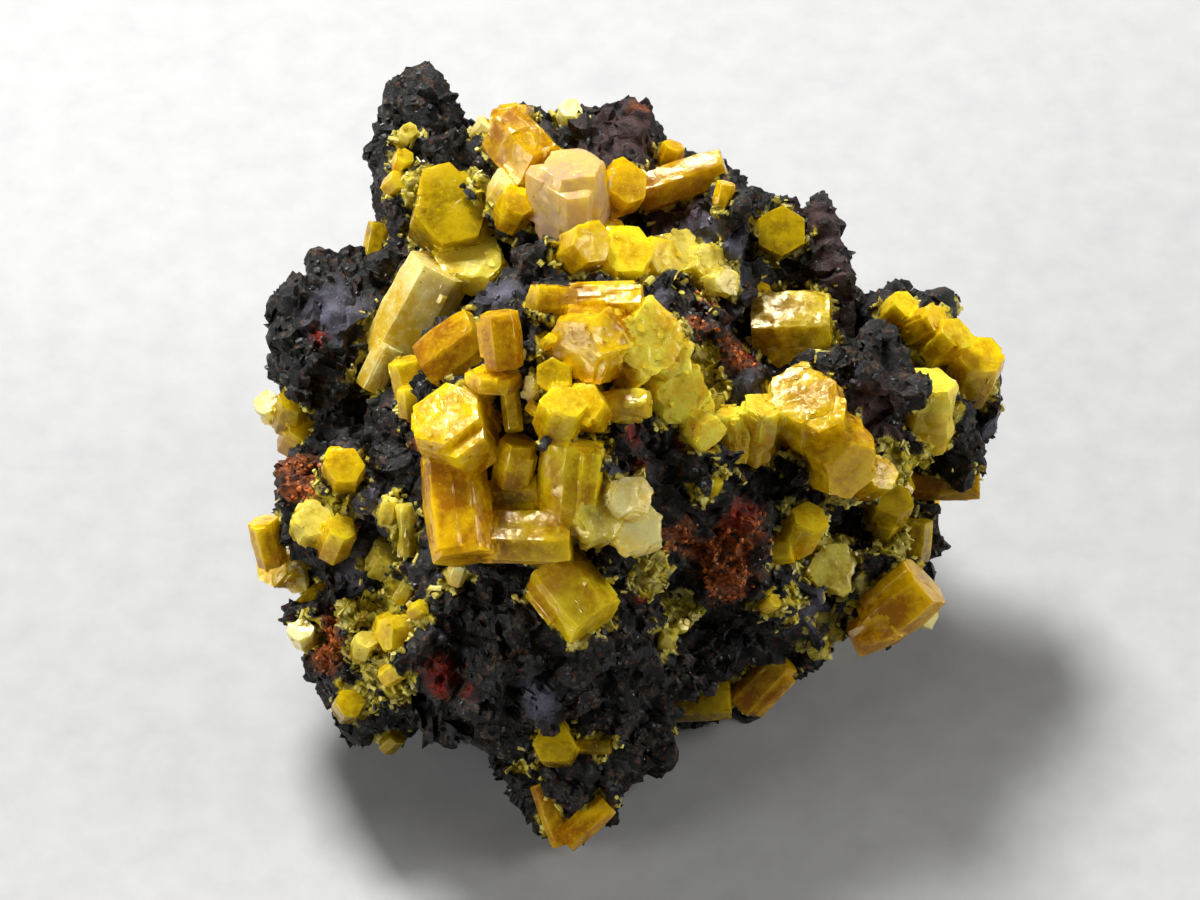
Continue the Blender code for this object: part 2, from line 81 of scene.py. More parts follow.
# The rock's form, as its solid has it
FORM_SEED = 41
FORM_VOXEL = 0.45  # mm
CHUNK_COUNT = 620
CHUNK_RADII = (0.7, 2.0)  # mm
CHUNK_STRETCH = (0.6, 1.3)  # a half size, as a share of the radius
SMALL_CHUNK_BIAS = 1.6  # above 1, small chunks are commoner than large ones
CHUNK_SINK = 0.35  # share of the radius
CHUNK_TARGETS = ((-9, 11), (-6, 9), (3, 17))  # x, y, z in mm, where the rays for them are sent
RAY_REACH = 60.0  # mm, from which a ray is sent to a target inside the rock
BLOCK_SIZE = 3.0  # mm
BLOCK_STEP = 0.9  # mm
CRAG_SIZE = 4.5  # mm
CRAG_HEIGHT = 0.7  # mm
CRAG_FORM = (1.0, 2.1, 3, 1.0, 2.0)  # dimension, lacunarity, octaves, offset and gain
CRAG_MEAN = 1.2  # the height of the swell, before scaling, that moves nothing
LUMP_CORNERS = 30
CHUNK_CORNERS = 11
CORNER_REACH = (0.86, 1.1)  # how far out a corner stands, as a share of the half sizes
CUTTER_SIZE = 80.0  # mm

# The rock's fine surface. Facets are given by their size in mm, slope and step in mm
FINE_VOXEL = 0.19  # mm
FINE_TRIANGLES = 190_000
FACET_SEED = 3
BLOCK_FACETS = (2.1, 0.55, 0.35)
CHIP_FACETS = (0.7, 0.8, 0.2)
CRUST_FACETS = (0.5, 0.9, 0.16)
CRUMB_SIZE = 0.25  # mm
CRUMB_HEIGHT = 0.07  # mm
CRUST_HEIGHT = 0.16  # mm, of the lowest parts of a crust of fine crystals
CLUMP_SIZE = 1.1  # mm
CLUMP_HEIGHT = 0.3  # mm
CALMED = 0.75  # how much of the fine relief a smooth grey or brown break lacks
THIN_COVER = 0.5  # mm, the thickness of rock over a crystal that is taken away
SOCKET_SINK = 0.18  # mm, by which the rock draws back beside a crystal
SOCKET_REACH = 0.5  # mm, from the crystal, where it begins to
BOX_EASE = 0.8  # mm, from the sides of the solids' box, where the rock begins to be drawn in
HIDDEN_STAINS = {"rust": 14, "red": 6, "brown": 12, "grey": 12, "druse": 16}
HIDDEN_STAIN_RADII = (0.6, 2.0)  # mm
HIDDEN_STAIN_TARGETS = ((-7, 9), (-5, 8), (3, 15))  # x, y, z in mm
STAIN_SEED = 77
BORDER_SIZES = (0.8, 0.3)  # mm, of the waves in a stain's border
ROCK_CREASE = 35  # degrees, from which an edge is sharp

# The crystals
FACE_REACH = (0.9, 1.06)  # how near and far a side face may stand, as a share of the mean
BEVELLED_RADIUS = 0.9  # mm, from which a crystal's solid has a bevelled end
BEVEL_SHARE = 0.14  # of the radius
GRAIN = 0.16  # mm, the spacing of the points on a crystal's faces
EDGE = 0.07  # mm, the width of the bevel along a crystal's edges
STEP_DEPTH = 0.07  # mm, from the highest to the lowest growth step on a face
STEP_SIZE = (0.75, 1.3)  # mm
SWELL = 0.03  # mm, how far a face undulates
SWELL_SIZE = 1.2  # mm
ROUNDING = 0.05  # mm, how far a face falls off towards its edges
CHIP_DEPTH = 0.5  # mm
CHIP_SIZE = 0.4  # mm
CHIP_START = 0.12  # the noise from which an edge is chipped
EDGE_SLOPE = 0.85  # how steeply a face may fall from its edge
WORN_WIDTH = 0.16  # mm, how far in from an edge wear and chips fade
RAGGED_REACH = 0.24  # share of the radius
RAGGED_SIZES = (1.1, 0.45)  # mm
OVERGROWN_RADIUS = 0.95  # mm, from which smaller crystals stand on a crystal's faces
OVERGROWTH_COUNTS = (2, 3, 3, 4)  # that a crystal's number of them is drawn from
OVERGROWTH_RADII = (0.4, 0.7)  # shares of the crystal's radius
OVERGROWTH_LENGTHS = (0.45, 0.9)  # shares of the crystal's length
OVERGROWTH_PROUD = (0.03, 0.1)  # mm
OVERGROWTH_ASIDE = 0.45  # how far one may stand from the face's middle, share of the radius
FLAT_SHARE = 0.87  # of a hexagon's radius, from its middle to a side
TINTS = (0.88, 1.1)  # how much darker or lighter than its finish a crystal may be
GLOW_EDGE_WIDTH = 0.12  # mm, how far in from an edge its painted glow of light through the thin edge fades
STUD_DENSITY = 12.0  # to the square mm
STUD_RADII = (0.05, 0.24)  # mm
STUD_SINK = 0.72  # share of the radius
CRYSTAL_CREASE = 28  # degrees, from which an edge is sharp

# The lumps seen in the display view: across, up, out, then their three half sizes, in mm
SEEN_LUMPS = (
    (-0.5, -1.0, -3.0, 13.0, 12.0, 12.0),  # core
    (-1.6, 1.0, 4.2, 8.5, 9.5, 8.0),  # summit
    (-2.5, -8.5, 1.5, 9.0, 6.5, 7.0),  # front, below the summit
    (-1.6, -16.0, -0.2, 2.5, 3.2, 3.4),  # bottom lobe
    (-10.6, -9.8, -1.0, 4.4, 4.8, 5.2),  # lower left
    (-12.0, -2.5, -1.0, 4.4, 5.2, 5.0),  # left shoulder
    (-12.8, 5.0, -2.5, 3.6, 5.0, 5.0),  # rounded left lobe
    (-9.0, 15.3, -6.0, 2.75, 3.8, 3.2),  # spur
    (-8.4, 11.2, -3.5, 3.2, 4.4, 4.2),  # foot of the spur
    (-2.0, 12.8, -2.0, 7.0, 4.4, 4.6),  # crest
    (1.6, 14.9, -3.4, 2.5, 2.4, 3.0),  # knob on the crest
    (5.6, 9.3, -1.4, 5.4, 4.8, 5.0),  # right crest
    (6.6, 10.6, 2.2, 1.1, 3.4, 2.2),  # ledge on the right crest
    (10.9, 8.4, -1.2, 1.6, 4.8, 3.6),  # right ridge
    (10.2, 1.0, -0.4, 5.4, 5.6, 6.0),  # right side
    (13.7, 2.8, 0.6, 1.7, 3.2, 2.8),  # dark column
    (16.0, 2.6, -3.6, 3.2, 3.4, 3.6),  # far right
    (15.4, 5.6, -3.4, 2.6, 1.9, 3.0),  # shoulder above it
    (19.0, 2.0, -5.2, 1.3, 1.2, 1.6),  # tip on the far right
    (12.6, -5.4, -3.0, 4.2, 4.4, 4.6),  # lower right
    (7.0, -6.6, -0.5, 4.8, 4.2, 5.2),  # right of the front
)

# The lumps hidden from that view: x, y, z, then their three half sizes, in mm
HIDDEN_LUMPS = (
    (0.0, 7.5, 9.5, 13.0, 8.0, 8.5),  # back
    (1.5, 0.0, 3.5, 10.0, 7.5, 5.0),  # foot
    (-5.0, 2.0, 3.5, 8.0, 7.5, 5.0),  # foot on the left
    (-2.6, -9.0, 3.0, 4.6, 5.0, 4.5),  # foot in front
)

# The view that each region's crystals are placed in, where it isn't the display view
REGION_VIEWS = {"back": BACK, "left_flank": LEFT_FLANK, "right_flank": RIGHT_FLANK}

# A crystal as its solid has it: where its middle is seen, its axis in the view, its radius
# and length in mm, its lift above the rock, its turn in degrees; and the finish of its faces
Crystal = namedtuple("Crystal", "across up axis radius length lift turn finish")

# A crystal once it is seated: its middle in mm, its directions and its side faces' distances
Placed = namedtuple("Placed", "region number view crystal middle axes faces")

CRYSTALS = {
    "centre": (
        (-2.3, 3.6, (0.0, 0.15, 0.98), 1.0, 1.8, 0.3, 30, "olive"),
        (-2.0, 1.7, (0.2, 0.6, 0.78), 1.2, 2.6, 0.5, 10, "lemon"),
        (-0.6, 2.0, (-0.2, 0.3, 0.93), 1.15, 2.4, 0.5, 0, "honey"),
        (-2.4, 7.3, (-0.95, 0.05, 0.3), 1.1, 2.2, 0.9, 20, "honey"),
        (0.3, 7.4, (1.0, 0.02, 0.1), 1.15, 3.6, 0.8, 30, "honey"),
        (-0.4, 5.3, (-0.55, -0.2, 0.8), 2.0, 3.4, 0.5, 10, "rounded"),
        (2.0, 5.0, (0.3, 0.2, 0.93), 2.2, 3.6, 0.5, 20, "sugar"),
        (3.3, 3.3, (0.4, -0.3, 0.86), 1.7, 3.4, 0.4, 0, "sugar"),
        (4.5, 2.4, (0.7, -0.4, 0.6), 1.1, 2.0, 0.3, 0, "sugar"),
        (1.1, 2.2, (1.0, 0.1, 0.2), 1.0, 2.8, 0.7, 30, "sugar"),
        (5.0, 1.0, (0.5, -0.3, 0.8), 1.0, 2.0, 0.4, 10, "sugar"),
    ),
    "left": (
        (-9.2, 6.9, (0.47, 0.85, 0.27), 1.85, 5.5, 1.0, 8, "straw"),
        (-9.6, 3.6, (-0.2, 0.95, 0.3), 1.0, 2.0, 1.4, 5, "lemon"),
        (-9.4, 2.2, (-0.1, 0.95, 0.2), 0.85, 2.0, 0.8, 10, "lemon"),
        (-11.0, 4.2, (0.45, 0.85, 0.27), 0.95, 2.6, 0.8, 20, "straw"),
        (-7.3, 5.0, (0.8, 0.56, 0.2), 1.55, 3.3, 0.9, 12, "amber"),
        (-4.9, 5.5, (-0.1, 0.97, 0.2), 1.1, 2.8, 0.8, 8, "amber"),
        (-5.3, 3.5, (0.05, 0.93, 0.36), 1.35, 0.9, 0.9, 0, "honey"),
    ),
    "front": (
        (-7.1, 0.9, (-0.35, 0.55, 0.75), 2.15, 3.4, 0.8, 5, "honey"),
        (-7.1, -2.8, (0.12, -0.96, 0.25), 1.75, 5.4, 0.9, 10, "amber"),
        (-4.3, -0.6, (0.2, 0.9, 0.4), 1.1, 2.4, 0.5, 15, "honey"),
        (-4.3, -2.2, (1.0, 0.1, 0.2), 1.0, 2.6, 0.0, 25, "olive"),
        (-3.6, -4.3, (1.0, -0.02, 0.1), 1.6, 4.4, 0.9, 30, "honey"),
        (-1.5, -1.6, (0.1, 0.95, 0.3), 1.75, 4.6, 0.3, 15, "lemon"),
        (-0.2, -3.6, (0.4, 0.3, 0.85), 1.3, 1.8, 0.5, 0, "green"),
        (1.7, -3.9, (0.2, 0.35, 0.9), 1.6, 1.2, 0.6, 20, "cream"),
        (1.5, -2.4, (0.4, 0.3, 0.85), 1.2, 1.2, 0.5, 0, "cream"),
        (-1.3, -7.2, (0.6, -0.75, 0.28), 1.75, 3.7, 0.9, 0, "lemon"),
    ),
    "crest": (
        (-3.8, 14.9, (0.6, -0.6, 0.5), 1.85, 3.3, 0.6, 30, "amber"),
        (-4.4, 16.4, (0.9, 0.1, 0.3), 0.95, 2.0, 0.0, 10, "amber"),
        (-1.5, 16.6, (0.1, 0.6, 0.8), 0.8, 1.7, 0.4, 0, "cream"),
        (-1.4, 12.4, (0.0, 0.83, 0.55), 2.25, 4.4, 1.0, 12, "pink"),
        (1.0, 13.0, (0.3, 0.3, 0.9), 1.35, 2.4, 1.0, 20, "amber"),
        (4.1, 13.5, (0.95, 0.31, 0.1), 1.15, 4.6, 1.5, 30, "amber"),
        (3.5, 14.7, (0.3, 0.8, 0.5), 0.7, 1.4, 0.8, 0, "amber"),
    ),
    "spur": (
        (-7.5, 11.6, (0.1, 0.3, 0.95), 2.15, 3.4, 0.6, 15, "olive"),
        (-6.5, 9.4, (0.05, 0.55, 0.83), 1.95, 1.5, 2.8, 0, "shell"),
        (-4.9, 13.1, (0.4, 0.6, 0.7), 0.8, 1.8, 0.5, 0, "cream"),
        (-4.3, 12.0, (0.3, 0.5, 0.8), 1.05, 2.0, 0.6, 10, "honey"),
        (-11.2, 10.4, (0.2, 1.0, 0.1), 0.7, 2.1, 0.2, 0, "olive"),
    ),
    "upper": (
        (0.5, 10.6, (0.3, 0.6, 0.7), 0.8, 1.8, 1.0, 20, "honey"),
        (-1.0, 9.9, (0.5, 0.3, 0.8), 1.3, 2.6, 0.5, 10, "honey"),
        (1.1, 9.4, (0.2, 0.5, 0.85), 1.7, 2.8, 0.5, 25, "lemon"),
        (2.6, 9.2, (0.6, 0.3, 0.8), 1.3, 2.4, 0.4, 0, "lemon"),
        (3.8, 9.7, (0.1, 0.4, 0.9), 1.3, 1.4, 0.6, 15, "green"),
        (5.4, 9.1, (0.5, 0.3, 0.8), 1.35, 1.3, 0.7, 5, "green"),
        (6.0, 8.3, (0.6, 0.1, 0.8), 0.9, 1.3, 0.5, 0, "green"),
    ),
    "ledge": (
        (9.0, 10.8, (0.05, 0.1, 0.99), 1.45, 2.6, 0.7, 30, "olive"),
        (9.6, 6.2, (1.0, 0.03, 0.1), 1.95, 4.0, 1.1, 30, "iced_sheen"),
    ),
    "right": (
        (10.3, 1.7, (-0.1, 0.5, 0.86), 2.35, 4.2, 0.7, 15, "rounded"),
        (11.8, -0.2, (0.4, -0.5, 0.77), 2.0, 3.6, 0.5, 5, "rounded"),
        (6.7, 0.8, (-0.1, 0.9, 0.42), 0.95, 2.6, 0.5, 10, "sugar"),
        (8.0, 1.0, (0.1, 0.8, 0.6), 1.2, 3.2, 0.5, 25, "sugar"),
        (13.6, -1.5, (0.5, 0.3, 0.8), 1.0, 2.2, 0.4, 0, "honey"),
        (14.6, -1.9, (0.6, 0.2, 0.8), 0.9, 2.0, 0.5, 0, "honey"),
        (16.4, 1.9, (0.05, 0.8, 0.6), 1.4, 4.0, 0.8, 8, "shell"),
        (14.9, 6.9, (0.5, 0.5, 0.7), 0.9, 1.8, 0.3, 0, "lemon"),
        (16.2, 6.2, (0.6, 0.3, 0.7), 0.95, 2.2, 0.3, 0, "honey"),
        (17.2, 5.4, (0.5, 0.5, 0.7), 1.1, 2.2, 0.3, 0, "lemon"),
        (18.6, 3.8, (0.2, 0.6, 0.77), 1.45, 3.2, 0.2, 20, "honey"),
        (17.2, -1.7, (1.0, 0.0, 0.1), 0.95, 3.7, 1.0, 0, "amber"),
        (14.4, -3.0, (0.2, 0.5, 0.84), 1.2, 2.4, 0.4, 0, "olive"),
        (15.8, -4.5, (0.1, 1.0, 0.2), 0.9, 2.2, 0.3, 0, "olive"),
    ),
    "lower_right": (
        (15.0, -7.7, (0.7, 0.6, 0.3), 1.7, 3.6, 0.3, 10, "amber"),
        (13.8, -9.0, (0.8, 0.4, 0.4), 1.1, 2.4, 0.2, 0, "amber"),
        (8.1, -11.6, (0.65, 0.7, 0.2), 1.1, 3.4, 0.2, 0, "amber"),
        (5.0, -12.6, (1.0, 0.05, 0.1), 1.1, 3.2, 0.2, 0, "olive"),
        (8.8, -5.0, (1.0, 0.1, 0.3), 0.8, 1.9, 0.4, 0, "lemon"),
        (10.1, -4.0, (0.3, 0.6, 0.7), 1.1, 2.4, 0.3, 0, "lemon"),
        (11.5, -6.0, (0.3, 0.3, 0.9), 1.5, 1.4, 0.5, 0, "green"),
    ),
    "foot": (
        (-2.2, -14.8, (-0.1, 0.2, 0.97), 1.25, 2.2, 0.3, 0, "olive"),
        (-2.4, -18.2, (0.34, -0.94, 0.0), 0.75, 3.4, 0.0, 0, "amber"),
        (-0.7, -18.6, (0.74, 0.67, 0.0), 0.8, 3.0, 0.0, 0, "amber"),
    ),
    "left_side": (
        (-16.5, 2.0, (-0.3, 0.5, 0.8), 0.8, 1.6, 0.0, 0, "cream"),
        (-15.4, 1.9, (0.2, 0.6, 0.7), 1.0, 2.2, 0.2, 0, "olive"),
        (-15.0, 0.7, (0.3, 0.5, 0.8), 1.1, 2.2, 0.3, 0, "honey"),
        (-12.8, -1.1, (0.1, 0.3, 0.94), 1.2, 2.4, 0.4, 0, "honey"),
        (-16.6, -4.6, (-0.2, 0.9, 0.3), 0.95, 2.5, 0.0, 0, "honey"),
        (-14.4, -3.7, (0.1, 0.4, 0.9), 1.1, 2.2, 0.3, 0, "green"),
        (-13.2, -4.5, (0.3, 0.6, 0.7), 0.95, 2.2, 0.4, 0, "lemon"),
        (-15.2, -6.1, (-0.1, 0.7, 0.7), 0.85, 1.9, 0.2, 0, "cream"),
    ),
    "lower_left": (
        (-10.7, -9.2, (0.3, 0.6, 0.7), 0.9, 1.8, 0.3, 0, "lemon"),
        (-11.9, -9.9, (0.2, 0.7, 0.7), 0.7, 1.6, 0.3, 0, "green"),
        (-10.3, -11.1, (0.6, 0.4, 0.7), 0.7, 1.5, 0.3, 0, "lemon"),
        (-14.8, -9.3, (-0.2, 0.5, 0.8), 0.75, 1.6, 0.1, 0, "cream"),
        (-12.6, -12.8, (0.2, 0.3, 0.9), 0.9, 1.6, 0.1, 0, "olive"),
        (-10.6, -5.4, (0.3, 0.5, 0.8), 1.1, 2.0, 0.3, 0, "green"),
    ),
    "back": (
        (-6.0, -1.5, (0.3, 0.6, 0.7), 1.6, 3.2, 0.5, 10, "honey"),
        (-4.0, -2.6, (-0.5, 0.5, 0.7), 1.1, 2.6, 0.4, 0, "sugar"),
        (5.0, 1.0, (0.2, 0.3, 0.9), 1.3, 2.6, 0.3, 20, "amber"),
        (6.7, 0.0, (0.8, 0.3, 0.5), 0.95, 2.6, 0.4, 0, "honey"),
        (0.5, -6.0, (-0.3, 0.5, 0.8), 1.2, 2.6, 0.3, 0, "lemon"),
        (9.5, -5.0, (0.5, 0.1, 0.85), 1.2, 2.6, 0.3, 12, "amber"),
    ),
    "left_flank": (
        (5.0, -7.0, (0.5, 0.6, 0.6), 1.2, 2.6, 0.3, 18, "honey"),
        (6.6, -7.8, (0.8, -0.2, 0.6), 0.9, 2.2, 0.3, 0, "olive"),
        (11.0, -3.0, (0.5, 0.3, 0.8), 1.0, 2.0, 0.3, 0, "lemon"),
    ),
    "right_flank": (
        (0.0, -6.0, (0.3, -0.4, 0.9), 1.2, 2.6, 0.3, 14, "honey"),
        (-6.0, -8.0, (-0.5, 0.3, 0.8), 1.0, 2.2, 0.3, 0, "straw"),
    ),
}

# Crystals too small for a solid of their own
SMALL_CRYSTALS = (
    (-5.9, 16.0, (0.5, 0.7, 0.5), 0.6, 1.2, 0.2, 0, "cream"),
    (6.2, 12.8, (0.2, 0.9, 0.3), 0.6, 1.3, 0.6, 0, "honey"),
    (-9.9, 14.4, (0.3, 0.5, 0.8), 0.6, 1.2, 0.3, 0, "lemon"),
    (-9.6, 15.8, (0.2, 0.4, 0.9), 0.6, 1.2, 0.2, 0, "green"),
    (-10.3, 13.3, (0.5, 0.4, 0.7), 0.65, 1.2, 0.3, 0, "lemon"),
    (-6.5, 2.6, (0.9, 0.35, 0.2), 0.6, 2.4, 0.5, 0, "honey"),
    (-4.4, 2.1, (0.1, -0.97, 0.25), 0.55, 2.4, 0.6, 0, "lemon"),
    (-3.4, 3.1, (0.1, 0.5, 0.86), 0.55, 1.2, 0.3, 30, "cream"),
    (-3.2, 2.0, (0.8, -0.55, 0.3), 0.42, 1.0, 0.3, 0, "lemon"),
    (-7.1, -6.1, (0.3, 0.8, 0.5), 0.6, 1.3, 0.3, 0, "cream"),
    (7.9, 7.7, (0.3, 0.6, 0.7), 0.6, 1.4, 0.4, 0, "honey"),
    (-0.3, -14.8, (1.0, 0.0, 0.2), 0.5, 1.8, 0.2, 0, "olive"),
    (-9.7, -4.0, (0.0, 0.98, 0.2), 0.55, 2.7, 0.3, 0, "green"),
    (-9.7, -7.1, (0.4, 0.8, 0.4), 0.6, 1.4, 0.3, 0, "green"),
    (-9.1, -8.0, (0.6, 0.4, 0.6), 0.5, 1.0, 0.3, 0, "lemon"),
    (-10.6, -3.0, (0.2, 0.8, 0.5), 0.55, 1.4, 0.3, 0, "green"),
    (8.5, -7.7, (0.6, 0.4, 0.6), 0.5, 1.0, 0.3, 0, "lemon"),
    (3.4, -9.5, (0.3, 0.6, 0.6), 0.55, 1.1, 0.3, 0, "green"),
    (4.0, -8.8, (0.5, 0.3, 0.8), 0.45, 0.9, 0.3, 0, "green"),
    (5.7, -1.8, (0.2, 0.5, 0.8), 0.5, 1.2, 0.3, 0, "lemon"),
    (-2.6, 5.4, (0.5, 0.5, 0.5), 0.4, 0.9, 0.3, 0, "lemon"),
    (-10.4, -14.6, (0.5, 0.5, 0.5), 0.6, 1.2, 0.2, 0, "olive"),
)

# The looks of a crystal's faces: the colour of its depth and of its thin, lit parts (sRGB),
# how frosted its upper faces are, with a painted sheen of light on them, how ragged its outline
# is, how far it tapers to its ends, and how densely smaller crystals stud it
Finish = namedtuple("Finish", "deep light frost ragged barrel studs")
FINISHES = {
    "amber": Finish((170, 108, 0), (244, 194, 4), 0.02, 0.12, 0.1, 0.0),
    "honey": Finish((180, 126, 0), (250, 210, 8), 0.06, 0.18, 0.08, 0.02),
    "lemon": Finish((198, 144, 0), (255, 226, 24), 0.15, 0.3, 0.06, 0.03),
    "olive": Finish((130, 98, 0), (216, 182, 6), 0.02, 0.14, 0.05, 0.0),
    "straw": Finish((222, 182, 40), (255, 240, 160), 0.5, 0.15, 0.06, 0.01),
    "sugar": Finish((236, 178, 0), (255, 240, 74), 0.15, 1.1, 0.14, 0.22),
    "shell": Finish((240, 200, 8), (255, 240, 90), 0.15, 0.8, 0.1, 0.04),
    "rounded": Finish((178, 116, 0), (248, 204, 10), 0.06, 0.5, 0.2, 0.06),
    "cream": Finish((240, 206, 80), (255, 246, 176), 0.3, 0.9, 0.05, 0.03),
    "iced_sheen": Finish((170, 126, 0), (236, 206, 10), 0.6, 0.25, 0.12, 0.05),
    "green": Finish((184, 154, 8), (248, 230, 96), 0.25, 1.3, 0.1, 0.1),
    "pink": Finish((200, 164, 132), (232, 198, 110), 0.3, 0.35, 0.22, 0.0),
}


def between(low, high, share):
    return low + (high - low) * share


def view_axes(view):
    """A view's directions as columns: across, up and out toward the eye."""
    azimuth, elevation = map(math.radians, view)
    up = Vector((0, 0, 1))
    across = Vector((math.cos(azimuth), math.sin(azimuth), 0))
    out = across.cross(up) * math.cos(elevation) + up * math.sin(elevation)
    return Matrix((across, out.cross(across), out)).transposed()


def eye_of(view):
    return VIEW_MIDDLE + view_axes(view).col[2] * EYE_DISTANCE


def point_in_view(view, across, up, out):
    """The point at that depth on the sight line through a place in the view."""
    on_plane = VIEW_MIDDLE + view_axes(view) @ Vector((across, up, 0))
    return eye_of(view).lerp(on_plane, (EYE_DISTANCE - out) / EYE_DISTANCE)


def look(view, across, up, tree):
    """A line of sight's direction, and where it meets a surface that is given in metres."""
    eye = eye_of(view)
    aim = (point_in_view(view, across, up, 0) - eye).normalized()
    return aim, tree.ray_cast(eye * MM, aim)[0]


# ---------------------------------------------------------------- the rock's form


def add_chunk(form, chance, centre, half_sizes, axes, corners):
    """Adds one broken lump: the hull of jittered points on an ellipsoid."""
    golden = math.pi * (3 - math.sqrt(5))
    start = chance.random() * math.tau
    made = []
    for k in range(corners):
        height = 1 - 2 * (k + 0.5) / corners
        ring = math.sqrt(1 - height * height)
        turn = start + golden * k
        point = Vector((ring * math.cos(turn), ring * math.sin(turn), height))
        point *= chance.uniform(*CORNER_REACH)
        scaled = Vector(a * b for a, b in zip(point, half_sizes))
        made.append(form.verts.new(centre + axes @ scaled))
    hull = bmesh.ops.convex_hull(form, input=made)
    unused = set(hull["geom_unused"] + hull["geom_interior"])
    spare = [v for v in unused if isinstance(v, bmesh.types.BMVert)]
    bmesh.ops.delete(form, geom=spare, context="VERTS")


def random_direction(chance):
    return Vector([chance.gauss(0, 1) for _ in range(3)]).normalized()


def random_place(chance, box):
    return Vector([chance.uniform(*span) for span in box])


def random_axes(chance):
    turns = [chance.uniform(0, math.tau) for _ in range(3)]
    axes = Matrix.Identity(3)
    for turn, letter in zip(turns, "XYZ"):
        axes = axes @ Matrix.Rotation(turn, 3, letter)
    return axes


def add_surface_chunks(form, chance):
    """Small chunks over the lumps, each where a random inward ray first meets them."""
    tree = BVHTree.FromBMesh(form)
    for _ in range(CHUNK_COUNT):
        away = random_direction(chance)
        target = random_place(chance, CHUNK_TARGETS)
        radius = between(*CHUNK_RADII, chance.random() ** SMALL_CHUNK_BIAS)
        sizes = [radius * chance.uniform(*CHUNK_STRETCH) for _ in range(3)]
        axes = random_axes(chance)
        hit = tree.ray_cast(target + away * RAY_REACH, -away)[0]
        if hit is not None:
            add_chunk(form, chance, hit - away * radius * CHUNK_SINK, sizes, axes, CHUNK_CORNERS)


def rock_form():
    """The whole rock, before it is cut flat below: a bmesh in mm of overlapping hulls."""
    chance = random.Random(FORM_SEED)
    form = bmesh.new()
    for across, up, out, *half_sizes in SEEN_LUMPS:
        middle = point_in_view(DISPLAY, across, up, out)
        add_chunk(form, chance, middle, half_sizes, view_axes(DISPLAY), LUMP_CORNERS)
    for x, y, z, *half_sizes in HIDDEN_LUMPS:
        add_chunk(form, chance, Vector((x, y, z)), half_sizes, Matrix.Identity(3), LUMP_CORNERS)
    add_surface_chunks(form, chance)
    return form


def merged_form(name, voxel):
    """The rock's lumps merged in one closed skin, as an object."""
    rock = new_object(name, rock_form())
    merge = rock.modifiers.new("merge", "REMESH")
    merge.mode = "VOXEL"
    merge.voxel_size = voxel * MM
    modifier_result(rock)
    return rock


def crag(point):
    """How far the rock stands proud at a point, in mm: stepped blocks and a rough swell."""
    corner = noise.voronoi(point / BLOCK_SIZE)[1][0]
    step = noise.noise(corner * BLOCK_DRAW) * BLOCK_STEP
    swell = noise.ridged_multi_fractal(point / CRAG_SIZE, *CRAG_FORM)
    return step + CRAG_HEIGHT * (swell - CRAG_MEAN)


# ---------------------------------------------------------------- objects and modifiers


def modifier_result(thing):
    """Replaces an object's mesh with what its modifiers make of it."""
    evaluated = thing.evaluated_get(bpy.context.evaluated_depsgraph_get())
    made = bpy.data.meshes.new_from_object(evaluated)
    thing.modifiers.clear()
    thing.data = made


def add_object(name, data):
    thing = bpy.data.objects.new(name, data)
    bpy.context.scene.collection.objects.link(thing)
    return thing


def new_object(name, bm):
    """An object from a bmesh in mm, its faces outward."""
    mesh = bpy.data.meshes.new(name)
    bmesh.ops.recalc_face_normals(bm, faces=bm.faces)
    if bm.calc_volume(signed=True) < 0:
        bmesh.ops.reverse_faces(bm, faces=bm.faces)
    bmesh.ops.scale(bm, vec=(MM,) * 3, verts=bm.verts)
    bm.to_mesh(mesh)
    bm.free()
    return add_object(name, mesh)


def combine(thing, other, operation):
    """Joins another object to this one, or cuts it away, and removes the other."""
    step = thing.modifiers.new(operation, "BOOLEAN")
    step.operation = operation
    step.object = other
    step.solver = "MANIFOLD"
    modifier_result(thing)
    bpy.data.objects.remove(other)


def keep_largest_part(thing):
    """Removes every scrap that isn't joined to the largest part of a surface."""
    bm = bmesh.new()
    bm.from_mesh(thing.data)
    left = set(bm.verts)
    parts = []
    while left:
        rim = {left.pop()}
        part = set(rim)
        while rim:
            rim = {edge.other_vert(v) for v in rim for edge in v.link_edges} - part
            part.update(rim)
        left -= part
        parts.append(part)
    parts.sort(key=len)
    scraps = [v for part in parts[:-1] for v in part]
    bmesh.ops.delete(bm, geom=scraps, context="VERTS")
    bm.to_mesh(thing.data)
    bm.free()


def points_of(mesh):
    """A mesh's vertices in mm, as an array of rows."""
    flat = np.empty(len(mesh.vertices) * 3)
    mesh.vertices.foreach_get("co", flat)
    return flat.reshape(-1, 3) / MM


def set_points(mesh, points):
    mesh.vertices.foreach_set("co", (points * MM).ravel())
    mesh.update()


def store(mesh, name, kind, domain, values):
    """Stores values on a mesh as a named attribute."""
    place = {"FLOAT": "value", "FLOAT_VECTOR": "vector", "FLOAT_COLOR": "color"}[kind]
    mesh.attributes.new(name, kind, domain).data.foreach_set(place, values.ravel())


def ease_into_box(points):
    """Points near the sides of the solids' box drawn in smoothly, so that none is cut flat."""
    over = (points - np.array(CAD_HIGH) / MM + BOX_EASE).clip(0)
    under = (np.array(CAD_LOW) / MM + BOX_EASE - points).clip(0)
    under[:, 2] = 0
    drawn = [beyond - BOX_EASE * np.tanh(beyond / BOX_EASE) for beyond in (over, under)]
    return points - drawn[0] + drawn[1]


def keep_in_box(thing):
    """Draws in the few points that stand outside the solids' box."""
    points = points_of(thing.data)
    set_points(thing.data, points.clip(np.array(CAD_LOW) / MM, np.array(CAD_HIGH) / MM))


def shade(thing, finish, sharp_angle):
    """Gives a piece its material, with creases where faces meet at more than the angle."""
    mesh = thing.data
    mesh.materials.clear()
    mesh.materials.append(finish)
    mesh.shade_smooth()
    mesh.set_sharp_from_angle(angle=math.radians(sharp_angle))


